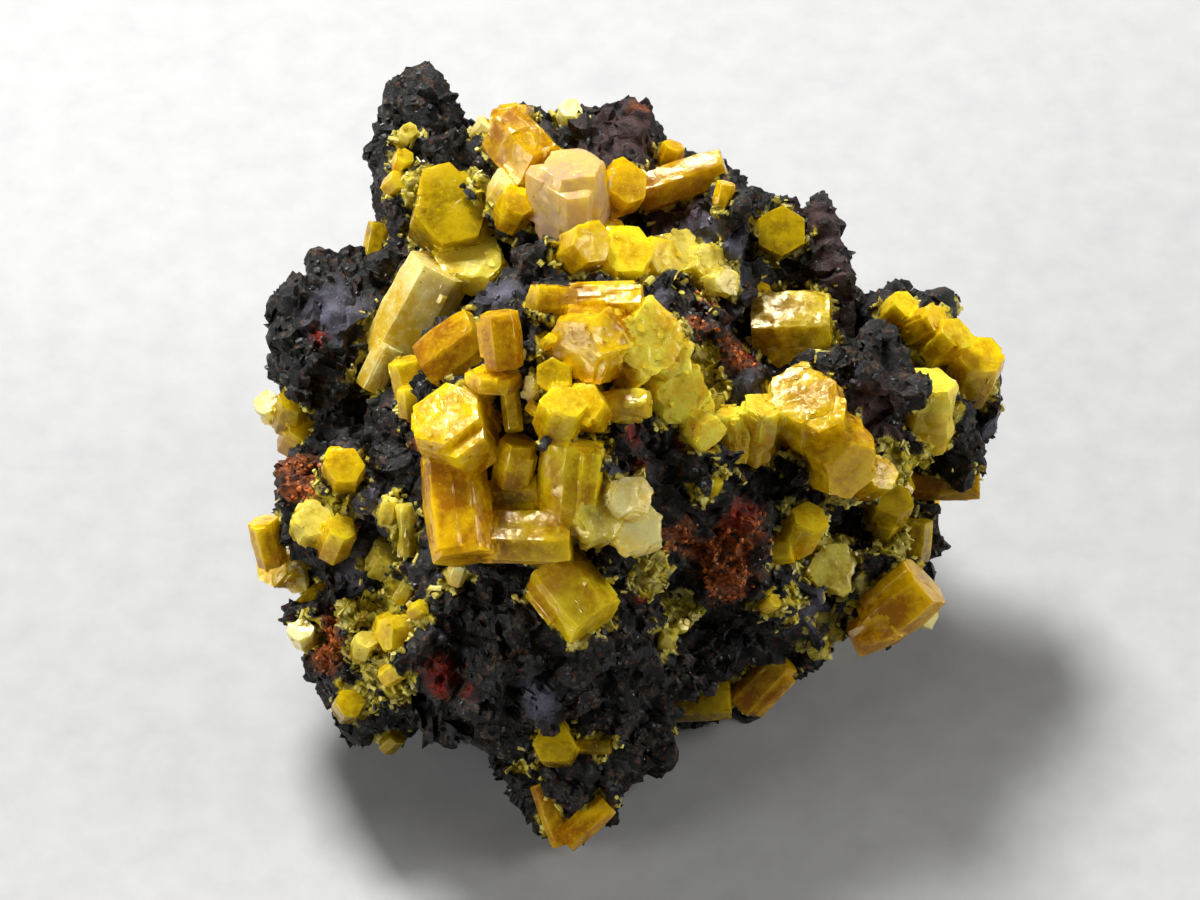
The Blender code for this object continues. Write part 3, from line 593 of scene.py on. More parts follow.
def finish_piece(thing, slot, *nodes):
    keep_in_box(thing)
    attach(thing, "root")
    if nodes:
        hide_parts(*nodes)


# ---------------------------------------------------------------- crystals


def side_distances(number, crystal):
    """How far each side face stands from the axis, as on the crystal's solid."""
    chance = random.Random(number)
    reach = crystal.radius * math.cos(math.pi / 6)
    return [reach * chance.uniform(*FACE_REACH) for _ in range(6)]


def section_corners(away, turn):
    """The section's corners: corner k lies between side faces k and k + 1."""
    corners = []
    for k in range(6):
        angle = math.radians(turn + 60 * k)
        along = (away[(k + 1) % 6] - away[k] * 0.5) / math.sin(math.pi / 3)
        x = away[k] * math.cos(angle) - along * math.sin(angle)
        y = away[k] * math.sin(angle) + along * math.cos(angle)
        corners.append(Vector((x, y, 0)))
    return corners


def crystal_axes(view, crystal):
    """A crystal's directions as columns: facing the viewer, beside that, and along it."""
    axes = view_axes(view)
    along = (axes @ Vector(crystal.axis)).normalized()
    toward = axes.col[2] if abs(along.dot(axes.col[2])) < 0.9 else axes.col[1]
    first = (toward - along * toward.dot(along)).normalized()
    return Matrix((first, along.cross(first), along)).transposed()


def seat(view, crystal, rock_tree):
    """The crystal's middle: where its line of sight meets the rock, plus its lift.

    A line that misses the rock puts it where it passes nearest.
    """
    aim, hit = look(view, crystal.across, crystal.up, rock_tree)
    if hit is not None:
        return hit / MM - aim * crystal.lift
    eye = eye_of(view)
    passed = [eye + aim * (EYE_DISTANCE + step * 0.5) for step in range(-20, 40)]
    return min(passed, key=lambda point: rock_tree.find_nearest(point * MM)[3])


def seated_crystals(rock_tree):
    """Every crystal with its middle, its directions and its side faces' distances."""
    listed = [(region, Crystal(*row)) for region, rows in CRYSTALS.items() for row in rows]
    listed += [("small", Crystal(*row)) for row in SMALL_CRYSTALS]
    placed = []
    for number, (region, crystal) in enumerate(listed):
        view = REGION_VIEWS.get(region, DISPLAY)
        middle = seat(view, crystal, rock_tree)
        axes = crystal_axes(view, crystal)
        faces = side_distances(number, crystal)
        placed.append(Placed(region, number, view, crystal, middle, axes, faces))
    return placed


def add_bands(bm, rings):
    """Faces between each ring of vertices and the next."""
    for low, high in zip(rings, rings[1:]):
        for k in range(len(low)):
            after = (k + 1) % len(low)
            bm.faces.new((low[k], low[after], high[after], high[k]))


def plain_prism(placed):
    """The crystal as its solid has it, in mm, to test what it touches."""
    crystal = placed.crystal
    corners = section_corners(placed.faces, crystal.turn)
    half = crystal.length / 2
    rings = [(-half, 1.0), (half, 1.0)]
    if crystal.radius >= BEVELLED_RADIUS:
        rings = [(-half, 1.0), (half - crystal.radius * BEVEL_SHARE, 1.0), (half, 1 - BEVEL_SHARE)]
    bm = bmesh.new()
    made = []
    for height, share in rings:
        ring = [corner * share + Vector((0, 0, height)) for corner in corners]
        made.append([bm.verts.new(placed.middle + placed.axes @ point) for point in ring])
    add_bands(bm, made)
    bm.faces.new(made[0][::-1])
    bm.faces.new(made[-1])
    return bm


def touching_groups(placed):
    """The crystals gathered into groups whose members overlap in a chain."""
    trees = {}
    for one in placed:
        bm = plain_prism(one)
        trees[one.number] = BVHTree.FromBMesh(bm)
        bm.free()
    left = list(placed)
    groups = []
    while left:
        group = [left.pop(0)]
        for member in group:
            joined = [one for one in left if trees[member.number].overlap(trees[one.number])]
            group.extend(joined)
            left = [one for one in left if one not in joined]
        groups.append(group)
    return groups


def growth_relief(u, v, edge, seed):
    """How far a face lies below its highest growth step, in mm, at a place on the face."""
    place = Vector((u / STEP_SIZE[0], v / STEP_SIZE[1], seed))
    lath = noise.voronoi(place, distance_metric="CHEBYCHEV")[1][0]
    step = noise.noise(lath * STEP_DRAW)
    swell = noise.noise(Vector((u / SWELL_SIZE, v / SWELL_SIZE, seed + 40)))
    chip = noise.noise(Vector((u / CHIP_SIZE, v / CHIP_SIZE, seed + 80)))
    worn = (ROUNDING + max(0.0, chip - CHIP_START) * CHIP_DEPTH) * math.exp(-edge / WORN_WIDTH)
    relief = STEP_DEPTH * (min(0.0, step) - 0.5) + SWELL * swell - worn
    return max(relief, -EDGE_SLOPE * max(edge, 0.0))


def ragged_share(point, ragged, seed):
    """How a ragged crystal's outline swells and shrinks, as a share of its radius."""
    if not ragged:
        return 1.0
    place = Vector(point) + Vector((seed * 3.7, 0, 0))
    broad, fine = RAGGED_SIZES
    wave = noise.noise(place / broad) + 0.6 * noise.noise(place / fine)
    return 1 + ragged * RAGGED_REACH * wave


def perimeter(corners):
    """Points round the section: each with its face, its place along it and to its edge."""
    points = []
    for k in range(6):
        start, end = corners[k - 1], corners[k]
        span = (end - start).length
        count = max(2, round((span - 2 * EDGE) / GRAIN))
        for n in range(count + 1):
            along = EDGE + (span - 2 * EDGE) * n / count
            spot = start.lerp(end, along / span)
            points.append((spot, k, along, min(along, span - along)))
    return points


def detailed_prism(middle, axes, away, turn, half, barrel, ragged, seed):
    """A crystal in mm with growth steps, worn edges, a slight barrel and a fine bevel."""
    corners = section_corners(away, turn)
    around = perimeter(corners)
    mean = sum(away) / 6
    bm = bmesh.new()

    def vertex(spot, share, height, outward, depth):
        taper = 1 - barrel * (height / half) ** 2
        taper *= ragged_share((spot.x * share, spot.y * share, height), ragged, seed)
        local = Vector((spot.x * share * taper, spot.y * share * taper, height))
        return bm.verts.new(middle + axes @ (local + outward * depth))

    def side_ring(height):
        ring = []
        for spot, k, along, edge in around:
            turned = math.radians(turn + 60 * k)
            outward = Vector((math.cos(turned), math.sin(turned), 0))
            edge = min(edge, half - abs(height))
            depth = growth_relief(along, height, edge, seed + k * 5.3)
            ring.append(vertex(spot, 1.0, height, outward, depth))
        return ring

    def end_ring(end, share):
        ring = []
        for spot, _, _, edge in around:
            edge = min(edge + mean * (1 - share), mean * (1 - share) + EDGE)
            depth = growth_relief(spot.x * share, spot.y * share, edge, seed + 60 + end)
            ring.append(vertex(spot, share, end * half, Vector((0, 0, end)), depth))
        return ring

    rows = max(2, round((2 * half - 2 * EDGE) / GRAIN))
    inner = max(2, round(mean / GRAIN))
    shares = [(1 - EDGE / mean) * n / inner for n in range(inner, 0, -1)]
    rings = [end_ring(-1, share) for share in reversed(shares)]
    rings += [side_ring(EDGE - half + (2 * half - 2 * EDGE) * n / rows) for n in range(rows + 1)]
    rings += [end_ring(1, share) for share in shares]
    add_bands(bm, rings)
    for ring, end in ((rings[0], -1), (rings[-1], 1)):
        depth = growth_relief(0, 0, mean, seed + 60 + end)
        hub = vertex(Vector((0, 0, 0)), 0.0, end * half, Vector((0, 0, end)), depth)
        for k in range(len(ring)):
            pair = (ring[k], ring[(k + 1) % len(ring)])
            bm.faces.new((*pair, hub) if end > 0 else (*pair[::-1], hub))
    return bm


def overgrowths(placed):
    """Smaller crystals grown in line with a larger one and a little proud of its faces."""
    crystal = placed.crystal
    if crystal.radius < OVERGROWN_RADIUS:
        return
    chance = random.Random(placed.number + 500)
    finish = FINISHES[crystal.finish]
    for n in range(chance.choice(OVERGROWTH_COUNTS)):
        k = chance.randrange(6)
        radius = crystal.radius * chance.uniform(*OVERGROWTH_RADII)
        angle = math.radians(crystal.turn + 60 * k)
        outward = Vector((math.cos(angle), math.sin(angle), 0))
        beside = Vector((-outward.y, outward.x, 0))
        half = crystal.length / 2 * chance.uniform(*OVERGROWTH_LENGTHS)
        proud = chance.uniform(*OVERGROWTH_PROUD)
        height = chance.uniform(-1, 1) * (crystal.length / 2 - half + 0.08)
        local = outward * (placed.faces[k] - radius * FLAT_SHARE + proud)
        aside = beside * chance.uniform(-OVERGROWTH_ASIDE, OVERGROWTH_ASIDE) * crystal.radius
        local += aside + Vector((0, 0, height))
        away = [radius * FLAT_SHARE * chance.uniform(0.85, 1.1) for _ in range(6)]
        middle = placed.middle + placed.axes @ local
        shape = (crystal.turn, half, 0, finish.ragged * 0.5, placed.number + 200 + n * 9)
        yield detailed_prism(middle, placed.axes, away, *shape)


def grown_crystal(placed):
    """One crystal with its overgrowths, as an object."""
    crystal = placed.crystal
    finish = FINISHES[crystal.finish]
    shape = (crystal.length / 2, finish.barrel, finish.ragged, placed.number)
    bm = detailed_prism(placed.middle, placed.axes, placed.faces, crystal.turn, *shape)
    thing = new_object("crystal", bm)
    for extra in overgrowths(placed):
        combine(thing, new_object("extra", extra), "UNION")
    return thing


def linear(colour):
    """A colour in sRGB steps of 255 as linear shares."""
    shares = np.array(colour) / 255
    return np.where(shares < 0.04045, shares / 12.92, ((shares + 0.055) / 1.055) ** 2.4)


def srgb(*steps):
    return tuple(linear(steps))


def place_in_crystal(placed, points):
    """For each point: how deep it lies inside, to its nearest edge, and how near the tip."""
    local = (points - np.array(placed.middle)) @ np.array(placed.axes)
    half = placed.crystal.length / 2
    turns = np.radians(placed.crystal.turn + 60 * np.arange(6))
    normals = np.stack([np.cos(turns), np.sin(turns)])
    stand = local[:, :2] @ normals - np.array(placed.faces)
    stand = np.column_stack([stand, np.abs(local[:, 2]) - half])
    ordered = np.sort(stand, axis=1)
    return ordered[:, -1], -ordered[:, -2], local[:, 2] / half


def owners_of_faces(mesh, points, corners, of_face, group):
    """For each face, the number in the group of the crystal whose surface it lies on."""
    count = len(mesh.polygons)
    middles = np.zeros((count, 3))
    np.add.at(middles, of_face, points[corners])
    middles /= np.bincount(of_face, minlength=count)[:, None]
    depth = np.stack([np.abs(place_in_crystal(one, middles)[0]) for one in group])
    return depth.argmin(axis=0)


def upright_turn(placed):
    """The turn that takes an upright prism to where the crystal stands, as Euler angles."""
    spin = Matrix.Rotation(math.radians(placed.crystal.turn), 3, "Z")
    return (placed.axes @ spin).to_euler()


def paint_growth(thing, group):
    """Stores each corner's colours and growth values, taken from the crystal it is on."""
    mesh = thing.data
    points = points_of(mesh)
    sizes = np.empty(len(mesh.polygons), int)
    mesh.polygons.foreach_get("loop_total", sizes)
    corners = np.empty(len(mesh.loops), int)
    mesh.loops.foreach_get("vertex_index", corners)
    of_face = np.repeat(np.arange(len(sizes)), sizes)
    face_owner = owners_of_faces(mesh, points, corners, of_face, group)
    owner = face_owner[of_face]
    deep = np.ones((len(corners), 4))
    light = np.ones((len(corners), 4))
    grown = np.zeros((len(corners), 3))
    for n, one in enumerate(group):
        mine = owner == n
        finish = FINISHES[one.crystal.finish]
        tint = random.Random(one.number + 900).uniform(*TINTS)
        deep[mine, :3] = linear(finish.deep) * tint
        light[mine, :3] = linear(finish.light) * tint
        _, edge, height = place_in_crystal(one, points[corners[mine]])
        # x: where along its axis the corner lies, which the material turns into painted shade
        # toward one end
        grown[mine, 0] = height * 0.5 + 0.5
        # y: a painted glow of light through the thin edges, fading inward
        grown[mine, 1] = np.exp(-edge.clip(0) / GLOW_EDGE_WIDTH)
        # z: the finish's frost and painted sheen, which the material puts on faces that point up
        grown[mine, 2] = finish.frost
    turns = np.array([upright_turn(one) for one in group])[face_owner]
    studs = np.array([FINISHES[one.crystal.finish].studs for one in group])[face_owner]
    store(mesh, "lean", "FLOAT_VECTOR", "FACE", turns)
    store(mesh, "sugary", "FLOAT", "FACE", studs)
    store(mesh, "deep", "FLOAT_COLOR", "CORNER", deep)
    store(mesh, "light", "FLOAT_COLOR", "CORNER", light)
    store(mesh, "grown", "FLOAT_VECTOR", "CORNER", grown)


def add_crystal_piece(name, group, finish, *nodes):
    """One piece for crystals that grew together, in place of the nodes named."""
    piece = grown_crystal(group[0])
    for one in group[1:]:
        combine(piece, grown_crystal(one), "UNION")
    piece.name = name
    paint_growth(piece, group)
    shade(piece, finish, CRYSTAL_CREASE)
    finish_piece(piece, "mimetite", *nodes)
    return piece


def add_crystal_pieces(placed, finish):
    """One piece in place of each solid of crystals, and the small crystals beside them.

    A small crystal that touches one of a solid's crystals becomes part of its piece.
    """
    groups = touching_groups([one for one in placed if one.region != "small"])
    names = []
    counts = {}
    for group in groups:
        region = group[0].region
        counts[region] = counts.get(region, 0) + 1
        kind = "crystals" if len(group) > 1 else "crystal"
        names.append(f"{region}_{kind}_{counts[region]}")
    loose = []
    for small in [one for one in placed if one.region == "small"]:
        touched = [group for group in groups if len(touching_groups([*group, small])) == 1]
        (touched[0] if touched else loose).append(small)
    made = [
        add_crystal_piece("grown_" + name, group, finish, name)
        for name, group in zip(names, groups)
    ]
    for number, group in enumerate(touching_groups(loose), 1):
        made.append(add_crystal_piece(f"small_crystal_{number}", group, finish))
    add_growth_steps(made, finish)


# ---------------------------------------------------------------- the rock's surface

# Stained places on the rock in the display view: across, up and radius, in mm
SPOTS = {
    "rust": (
        (6.9, 5.1, 1.2), (7.0, -4.4, 1.3), (6.4, -6.3, 1.3), (5.4, -5.0, 0.9), (3.8, -4.5, 1.1),
        (-13.4, -9.5, 1.1), (-13.7, -10.2, 0.9), (-13.3, -8.7, 0.8), (-14.4, -11.8, 0.9),
        (-15.4, -0.7, 1.0), (-15.0, -2.0, 1.0), (-8.9, 0.2, 0.6), (-12.5, -3.8, 0.5),
        (0.0, 17.2, 0.5), (2.0, 17.1, 0.5), (5.6, 7.4, 0.8), (4.9, 6.2, 0.7),
    ),
    "red": (
        (7.5, 4.9, 0.8), (2.0, -7.3, 0.5), (-8.0, -11.3, 0.9), (-6.4, -12.0, 0.5),
        (1.6, 0.8, 0.6), (4.3, 0.4, 0.6), (-14.0, 5.6, 0.5), (-9.5, -7.4, 0.5), (2.3, -1.0, 0.5),
        (7.0, -3.4, 0.9),
    ),
    "brown": (
        (1.3, 16.0, 2.6), (3.5, 11.0, 1.9), (9.5, 13.5, 1.6), (10.8, 11.5, 1.5), (12.0, 9.0, 1.6),
        (12.3, 6.8, 1.5), (13.6, 2.5, 1.6), (4.5, 12.2, 1.2), (14.5, 0.5, 1.2),
    ),
    "grey": (
        (5.0, 11.0, 1.3), (6.6, 9.5, 1.3), (7.6, 7.5, 1.2), (-11.6, -2.6, 1.2),
        (-12.0, -5.5, 1.4), (2.6, 7.4, 0.9), (-0.9, 7.0, 0.8), (0.3, -1.0, 1.1), (-5.0, 7.8, 1.1),
        (6.3, 6.6, 0.9), (7.8, 3.2, 1.0), (20.0, 1.7, 1.4), (-13.0, 7.0, 1.6), (-3.0, -12.5, 1.0),
    ),
    "druse": (
        (-10.2, -7.5, 1.7), (-11.0, -10.5, 1.5), (2.5, -6.0, 1.3), (11.0, -5.7, 1.8),
        (4.0, -8.0, 1.2), (17.0, 5.2, 1.8), (-9.6, -4.4, 1.2), (-13.5, -3.0, 1.4),
        (1.6, 7.0, 1.2), (5.2, -2.0, 0.9), (15.0, 7.0, 1.2), (5.0, 4.6, 1.0), (-9.0, 13.2, 1.3),
        (0.5, -2.4, 1.0), (12.5, -2.2, 1.2), (-5.8, 13.0, 0.9), (1.4, 9.4, 1.4), (4.6, 9.0, 1.2),
        (3.6, 6.2, 1.1), (5.6, 3.0, 0.9), (0.8, -3.2, 1.2), (-9.4, -8.9, 1.2), (-12.2, -8.0, 1.1),
        (-10.0, -11.9, 1.0), (-11.6, -12.6, 0.9), (14.6, -4.5, 1.1), (9.3, -7.7, 1.1),
        (-2.4, 4.4, 0.8),
    ),
}


def spot_middles(rows, rock_tree):
    """The stained places as points on the rock, each with its radius."""
    found = []
    for across, up, radius in rows:
        _, hit = look(DISPLAY, across, up, rock_tree)
        if hit is not None:
            found.append((*(hit / MM), radius))
    return found


def hidden_spots(count, chance, rock_tree):
    """Stained places at random on the sides that the display view doesn't show."""
    found = []
    toward = view_axes(DISPLAY).col[2]
    for _ in range(count):
        away = random_direction(chance)
        if away.dot(toward) > 0.25:
            away.negate()
        target = random_place(chance, HIDDEN_STAIN_TARGETS)
        hit = rock_tree.ray_cast((target + away * RAY_REACH) * MM, -away)[0]
        if hit is not None:
            found.append((*(hit / MM), chance.uniform(*HIDDEN_STAIN_RADII)))
    return found


def stain(points, spots, wander):
    """How stained each point is, from 0 to 1, with ragged borders."""
    amount = np.full(len(points), -1.0)
    for x, y, z, radius in spots:
        gap = np.linalg.norm(points - np.array((x, y, z)), axis=1) / radius
        amount = np.maximum(amount, 1.5 - gap * 1.2)
    return (amount + wander * 0.6).clip(0, 1)


def facet(point, size, tilt, step):
    """The height of a tilted flat facet, one of those that broken rock is made of, in mm."""
    corner = noise.voronoi(point / size)[1][0]
    lean = noise.noise_vector(corner * FACET_DRAW)
    return lean.dot(point - corner * size) * tilt + lean.x * step


def fine_relief(point):
    """The rock's broken surface at a point, in mm: crumbs on chips on blocks."""
    crumbs = CRUMB_HEIGHT * noise.noise(point / CRUMB_SIZE)
    return facet(point, *BLOCK_FACETS) + facet(point, *CHIP_FACETS) + crumbs


def seat_rock():
    """The roughened rock that the crystals are seated on, as the solids have it."""
    rock = merged_form("seat", FORM_VOXEL)
    vertices = rock.data.vertices
    moved = [v.co + v.normal * crag(v.co / MM) * MM for v in vertices]
    for vertex, place in zip(vertices, moved):
        vertex.co = place
    return rock


def crust_relief(point):
    """How proud a crust of fine crystals stands at a point, in mm."""
    clumps = noise.noise(point / CLUMP_SIZE) * CLUMP_HEIGHT
    return CRUST_HEIGHT + abs(facet(point, *CRUST_FACETS)) + max(0.0, clumps)


def roughened_points(rock, crystal_tree, spots):
    """The rock's points on its fine surface, drawn back a little beside the crystals."""
    points = points_of(rock.data)
    wander = wandering(points)
    grey = stain(points, spots["grey"], wander)
    brown = stain(points, spots["brown"], wander)
    calm = np.maximum(grey, 0.7 * brown)
    crusted = stain(points, spots["druse"], wander)
    moved = []
    for vertex, still, crust in zip(rock.data.vertices, calm, crusted):
        point = vertex.co / MM
        depth = crag(point) + fine_relief(point) * (1 - CALMED * still)
        if crust > 0:
            depth += crust * crust_relief(point)
        place = point + vertex.normal * depth
        hit, facing, _, _ = crystal_tree.ray_cast(place, -vertex.normal, THIN_COVER)
        if hit is not None and facing.dot(vertex.normal) > 0:
            place = hit
        near = crystal_tree.find_nearest(place)[3]
        sink = SOCKET_SINK * max(0.0, 1 - near / SOCKET_REACH)
        moved.append(place - vertex.normal * sink)
    return ease_into_box(np.array(moved))


def fine_rock(crystal_tree, spots):
    """The rock with its fine surface, cut flat at its base."""
    rock = merged_form("crumbling_gossan", FINE_VOXEL)
    set_points(rock.data, roughened_points(rock, crystal_tree, spots))
    below = bmesh.new()
    under = Matrix.Translation((0, 0, -CUTTER_SIZE / 2))
    bmesh.ops.create_cube(below, size=CUTTER_SIZE, matrix=under)
    combine(rock, new_object("below", below), "DIFFERENCE")
    rock.data.calc_loop_triangles()
    thin = rock.modifiers.new("thin", "DECIMATE")
    thin.ratio = min(1.0, FINE_TRIANGLES / len(rock.data.loop_triangles))
    thin.use_collapse_triangulate = True
    modifier_result(rock)
    keep_largest_part(rock)
    return rock


def tree_of_crystals(placed):
    """A search tree of all the crystals' plain prisms, in mm."""
    corners = []
    faces = []
    for one in placed:
        bm = plain_prism(one)
        bmesh.ops.triangulate(bm, faces=bm.faces)
        start = len(corners)
        bm.verts.index_update()
        corners += [v.co.copy() for v in bm.verts]
        faces += [[start + v.index for v in face.verts] for face in bm.faces]
        bm.free()
    return BVHTree.FromPolygons(corners, faces)


def stained_places(rock_tree):
    """Every stained place on the rock, by kind: those seen, and more at random behind."""
    chance = random.Random(STAIN_SEED)
    return {
        kind: spot_middles(rows, rock_tree) + hidden_spots(HIDDEN_STAINS[kind], chance, rock_tree)
        for kind, rows in SPOTS.items()
    }


def wandering(points):
    """Noise that makes the stains' borders ragged."""
    broad, fine = BORDER_SIZES
    places = [Vector(point) for point in points]
    return np.array([noise.noise(p / broad) + 0.5 * noise.noise(p / fine) for p in places])


def stain_rock(rock, spots, crystal_tree):
    """Stores where the rock is rusty, red, brown, grey or crusted with fine crystals."""
    points = points_of(rock.data)
    wander = wandering(points)
    values = {kind: stain(points, places, wander) for kind, places in spots.items()}
    near = np.array([crystal_tree.find_nearest(Vector(p))[3] for p in points])
    beside_crystals = (0.5 - near * 0.9 + wander * 0.7).clip(0, 1)
    values["druse"] = np.maximum(values["druse"], beside_crystals)
    for kind, amounts in values.items():
        store(rock.data, kind, "FLOAT", "POINT", amounts)


# ---------------------------------------------------------------- grains scattered on the rock


class Tree:
    """Adds nodes to a node tree, with their settings and what goes into them."""

    def __init__(self, tree, prefix):
        self.tree = tree
        self.prefix = prefix

    def add(self, kind, inputs=None, output=0, **settings):
        node = self.tree.nodes.new(self.prefix + kind)
        for name, value in settings.items():
            setattr(node, name, value)
        for name, value in (inputs or {}).items():
            self.put(node.inputs[name], value)
        return node.outputs[output]

    def put(self, socket, value):
        if isinstance(value, bpy.types.NodeSocket):
            self.tree.links.new(value, socket)
        else:
            socket.default_value = value


def new_tree(name, sizes, made):
    """A tree that takes a surface, its sizes and a seed, and gives back what it makes."""
    tree = bpy.data.node_groups.new(name, "GeometryNodeTree")
    for label, kind in {"Surface": "Geometry", **sizes, "Seed": "Int"}.items():
        tree.interface.new_socket(name=label, in_out="INPUT", socket_type="NodeSocket" + kind)
    tree.interface.new_socket(name=made, in_out="OUTPUT", socket_type="NodeSocketGeometry")
    return tree


def spread_points(tree, given, amount):
    """Points at random on the surface, as dense as asked times the stored amount."""
    maths = Tree(tree, "ShaderNode")
    per_metre = maths.add("Math", {0: given["Per square mm"], 1: 1e6}, operation="MULTIPLY")
    density = maths.add("Math", {0: per_metre, 1: amount}, operation="MULTIPLY")
    inputs = {"Mesh": given["Surface"], "Density": density, "Seed": given["Seed"]}
    return Tree(tree, "GeometryNode").add("DistributePointsOnFaces", inputs)


def rough_ball(tree):
    """A lumpy crumb one unit across."""
    g = Tree(tree, "GeometryNode")
    maths = Tree(tree, "ShaderNode")
    ball = g.add("MeshIcoSphere", {"Radius": 0.5, "Subdivisions": 1})
    jolt = maths.add("TexNoise", {"Vector": g.add("InputPosition"), "Scale": 2.3}, output="Color")
    off = maths.add("VectorMath", {0: jolt, 1: (0.5, 0.5, 0.5)}, operation="SUBTRACT")
    return g.add("SetPosition", {"Geometry": ball, "Offset": off})


def finish_tree(tree, made, finish):
    """Ends a tree: its copies made real, with their material."""
    g = Tree(tree, "GeometryNode")
    real = g.add("RealizeInstances", {"Geometry": made})
    result = tree.nodes.new("NodeGroupOutput").inputs[0]
    g.put(result, g.add("SetMaterial", {"Geometry": real, "Material": finish}))


def scatter_tree(name, mask, prism, finish):
    """Grains on a surface: broken bits, or stubby six-sided prisms, facing at random."""
    sizes = {"Per square mm": "Float", "Smallest": "Vector", "Largest": "Vector"}
    tree = new_tree(name, sizes, "Grains")
    given = tree.nodes.new("NodeGroupInput").outputs
    g = Tree(tree, "GeometryNode")
    drawn = Tree(tree, "FunctionNode")
    amount = g.add("InputNamedAttribute", {"Name": mask}) if mask else 1.0
    spread = spread_points(tree, given, amount)
    if prism:
        grain = g.add("MeshCylinder", {"Vertices": 6, "Radius": 0.5, "Depth": 1.0})
    else:
        grain = rough_ball(tree)
    range_ = {0: (0.0, 0.0, 0.0), 1: (6.28, 6.28, 6.28)}
    turn = drawn.add("RandomValue", {**range_, "Seed": 3}, data_type="FLOAT_VECTOR")
    range_ = {0: given["Smallest"], 1: given["Largest"]}
    size = drawn.add("RandomValue", {**range_, "Seed": 8}, data_type="FLOAT_VECTOR")
    inputs = {"Points": spread, "Instance": grain, "Scale": size}
    inputs["Rotation"] = drawn.add("EulerToRotation", {0: turn})
    placed = g.add("InstanceOnPoints", inputs)
    tone = drawn.add("RandomValue", {2: 0.0, 3: 1.0, "Seed": 5}, output=1, data_type="FLOAT")
    inputs = {"Geometry": placed, "Name": "tone", "Value": tone}
    stored = g.add("StoreNamedAttribute", inputs, data_type="FLOAT", domain="INSTANCE")
    finish_tree(tree, stored, finish)
    return tree


def growth_tree(finish):
    """Small prisms in line with the crystal that they stand on, sunk into its faces."""
    sizes = {"Per square mm": "Float", "Smallest": "Float", "Largest": "Float"}
    tree = new_tree("parallel_growth", sizes, "Prisms")
    given = tree.nodes.new("NodeGroupInput").outputs
    g = Tree(tree, "GeometryNode")
    maths = Tree(tree, "ShaderNode")
    drawn = Tree(tree, "FunctionNode")
    spread = spread_points(tree, given, g.add("InputNamedAttribute", {"Name": "sugary"}))
    away = spread.node.outputs["Normal"]
    range_ = {2: given["Smallest"], 3: given["Largest"]}
    radius = drawn.add("RandomValue", {**range_, "Seed": 2}, output=1, data_type="FLOAT")
    length = drawn.add("RandomValue", {**range_, "Seed": 4}, output=1, data_type="FLOAT")
    sink = maths.add("Math", {0: radius, 1: -STUD_SINK}, operation="MULTIPLY")
    offset = maths.add("VectorMath", {0: away, 3: sink}, operation="SCALE")
    sunk = g.add("SetPosition", {"Geometry": spread, "Offset": offset})
    size = maths.add("CombineXYZ", {0: radius, 1: radius, 2: length})
    lean = g.add("InputNamedAttribute", {"Name": "lean"}, data_type="FLOAT_VECTOR")
    turn = drawn.add("EulerToRotation", {0: lean})
    prism = g.add("MeshCylinder", {"Vertices": 6, "Radius": 1.0, "Depth": 2.0})
    inputs = {"Points": sunk, "Instance": prism, "Rotation": turn, "Scale": size}
    finish_tree(tree, g.add("InstanceOnPoints", inputs), finish)
    return tree


def add_grown(thing, tree, values, slot, finish):
    """Makes the object what the tree makes of it, as one finished piece."""
    step = thing.modifiers.new("grow", "NODES")
    step.node_group = tree
    for socket in tree.interface.items_tree:
        if socket.in_out == "INPUT" and socket.name in values:
            step[socket.identifier] = values[socket.name]
    modifier_result(thing)
    thing.data.materials.clear()
    thing.data.materials.append(finish)
    finish_piece(thing, slot)


def add_growth_steps(crystals, finish):
    """One piece of small prisms over all the crystals."""
    joined = bmesh.new()
    for thing in crystals:
        joined.from_mesh(thing.data)
    mesh = bpy.data.meshes.new("growth_steps")
    joined.to_mesh(mesh)
    joined.free()
    steps = add_object("growth_steps", mesh)
    smallest, largest = (radius * MM for radius in STUD_RADII)
    values = {"Per square mm": STUD_DENSITY, "Smallest": smallest, "Largest": largest, "Seed": 21}
    add_grown(steps, growth_tree(finish), values, "mimetite", finish)


# Grains on the rock: the slot, the stain that they keep to, whether they are prisms, how many
# there are on a square mm, their smallest and largest sizes in mm, and the seed
Grains = namedtuple("Grains", "slot mask prism per_mm smallest largest seed")
GRAINS = {
    "dark_crumbs": Grains("gossan", None, False, 0.55, (0.12,) * 3, (0.5,) * 3, 11),
    "rust_crumbs": Grains("gossan", "rust", False, 7.0, (0.12,) * 3, (0.36,) * 3, 12),
    "fine_druse": Grains("mimetite", "druse", True, 5.0, (0.1,) * 3, (0.36, 0.36, 0.55), 13),
    # pale grains that stand in for glints on the rock: painted highlights
    "painted_glint_grains": Grains("gossan", None, False, 0.07, (0.04,) * 3, (0.11,) * 3, 14),
}


def scatter(name, rock, finish):
    """One piece of grains on the rock's surface."""
    grains = GRAINS[name]
    values = {
        "Per square mm": grains.per_mm,
        "Smallest": [a * MM for a in grains.smallest],
        "Largest": [a * MM for a in grains.largest],
        "Seed": grains.seed,
    }
    tree = scatter_tree(name, grains.mask, grains.prism, finish)
    add_grown(add_object(name, rock.data.copy()), tree, values, grains.slot, finish)


# ---------------------------------------------------------------- materials


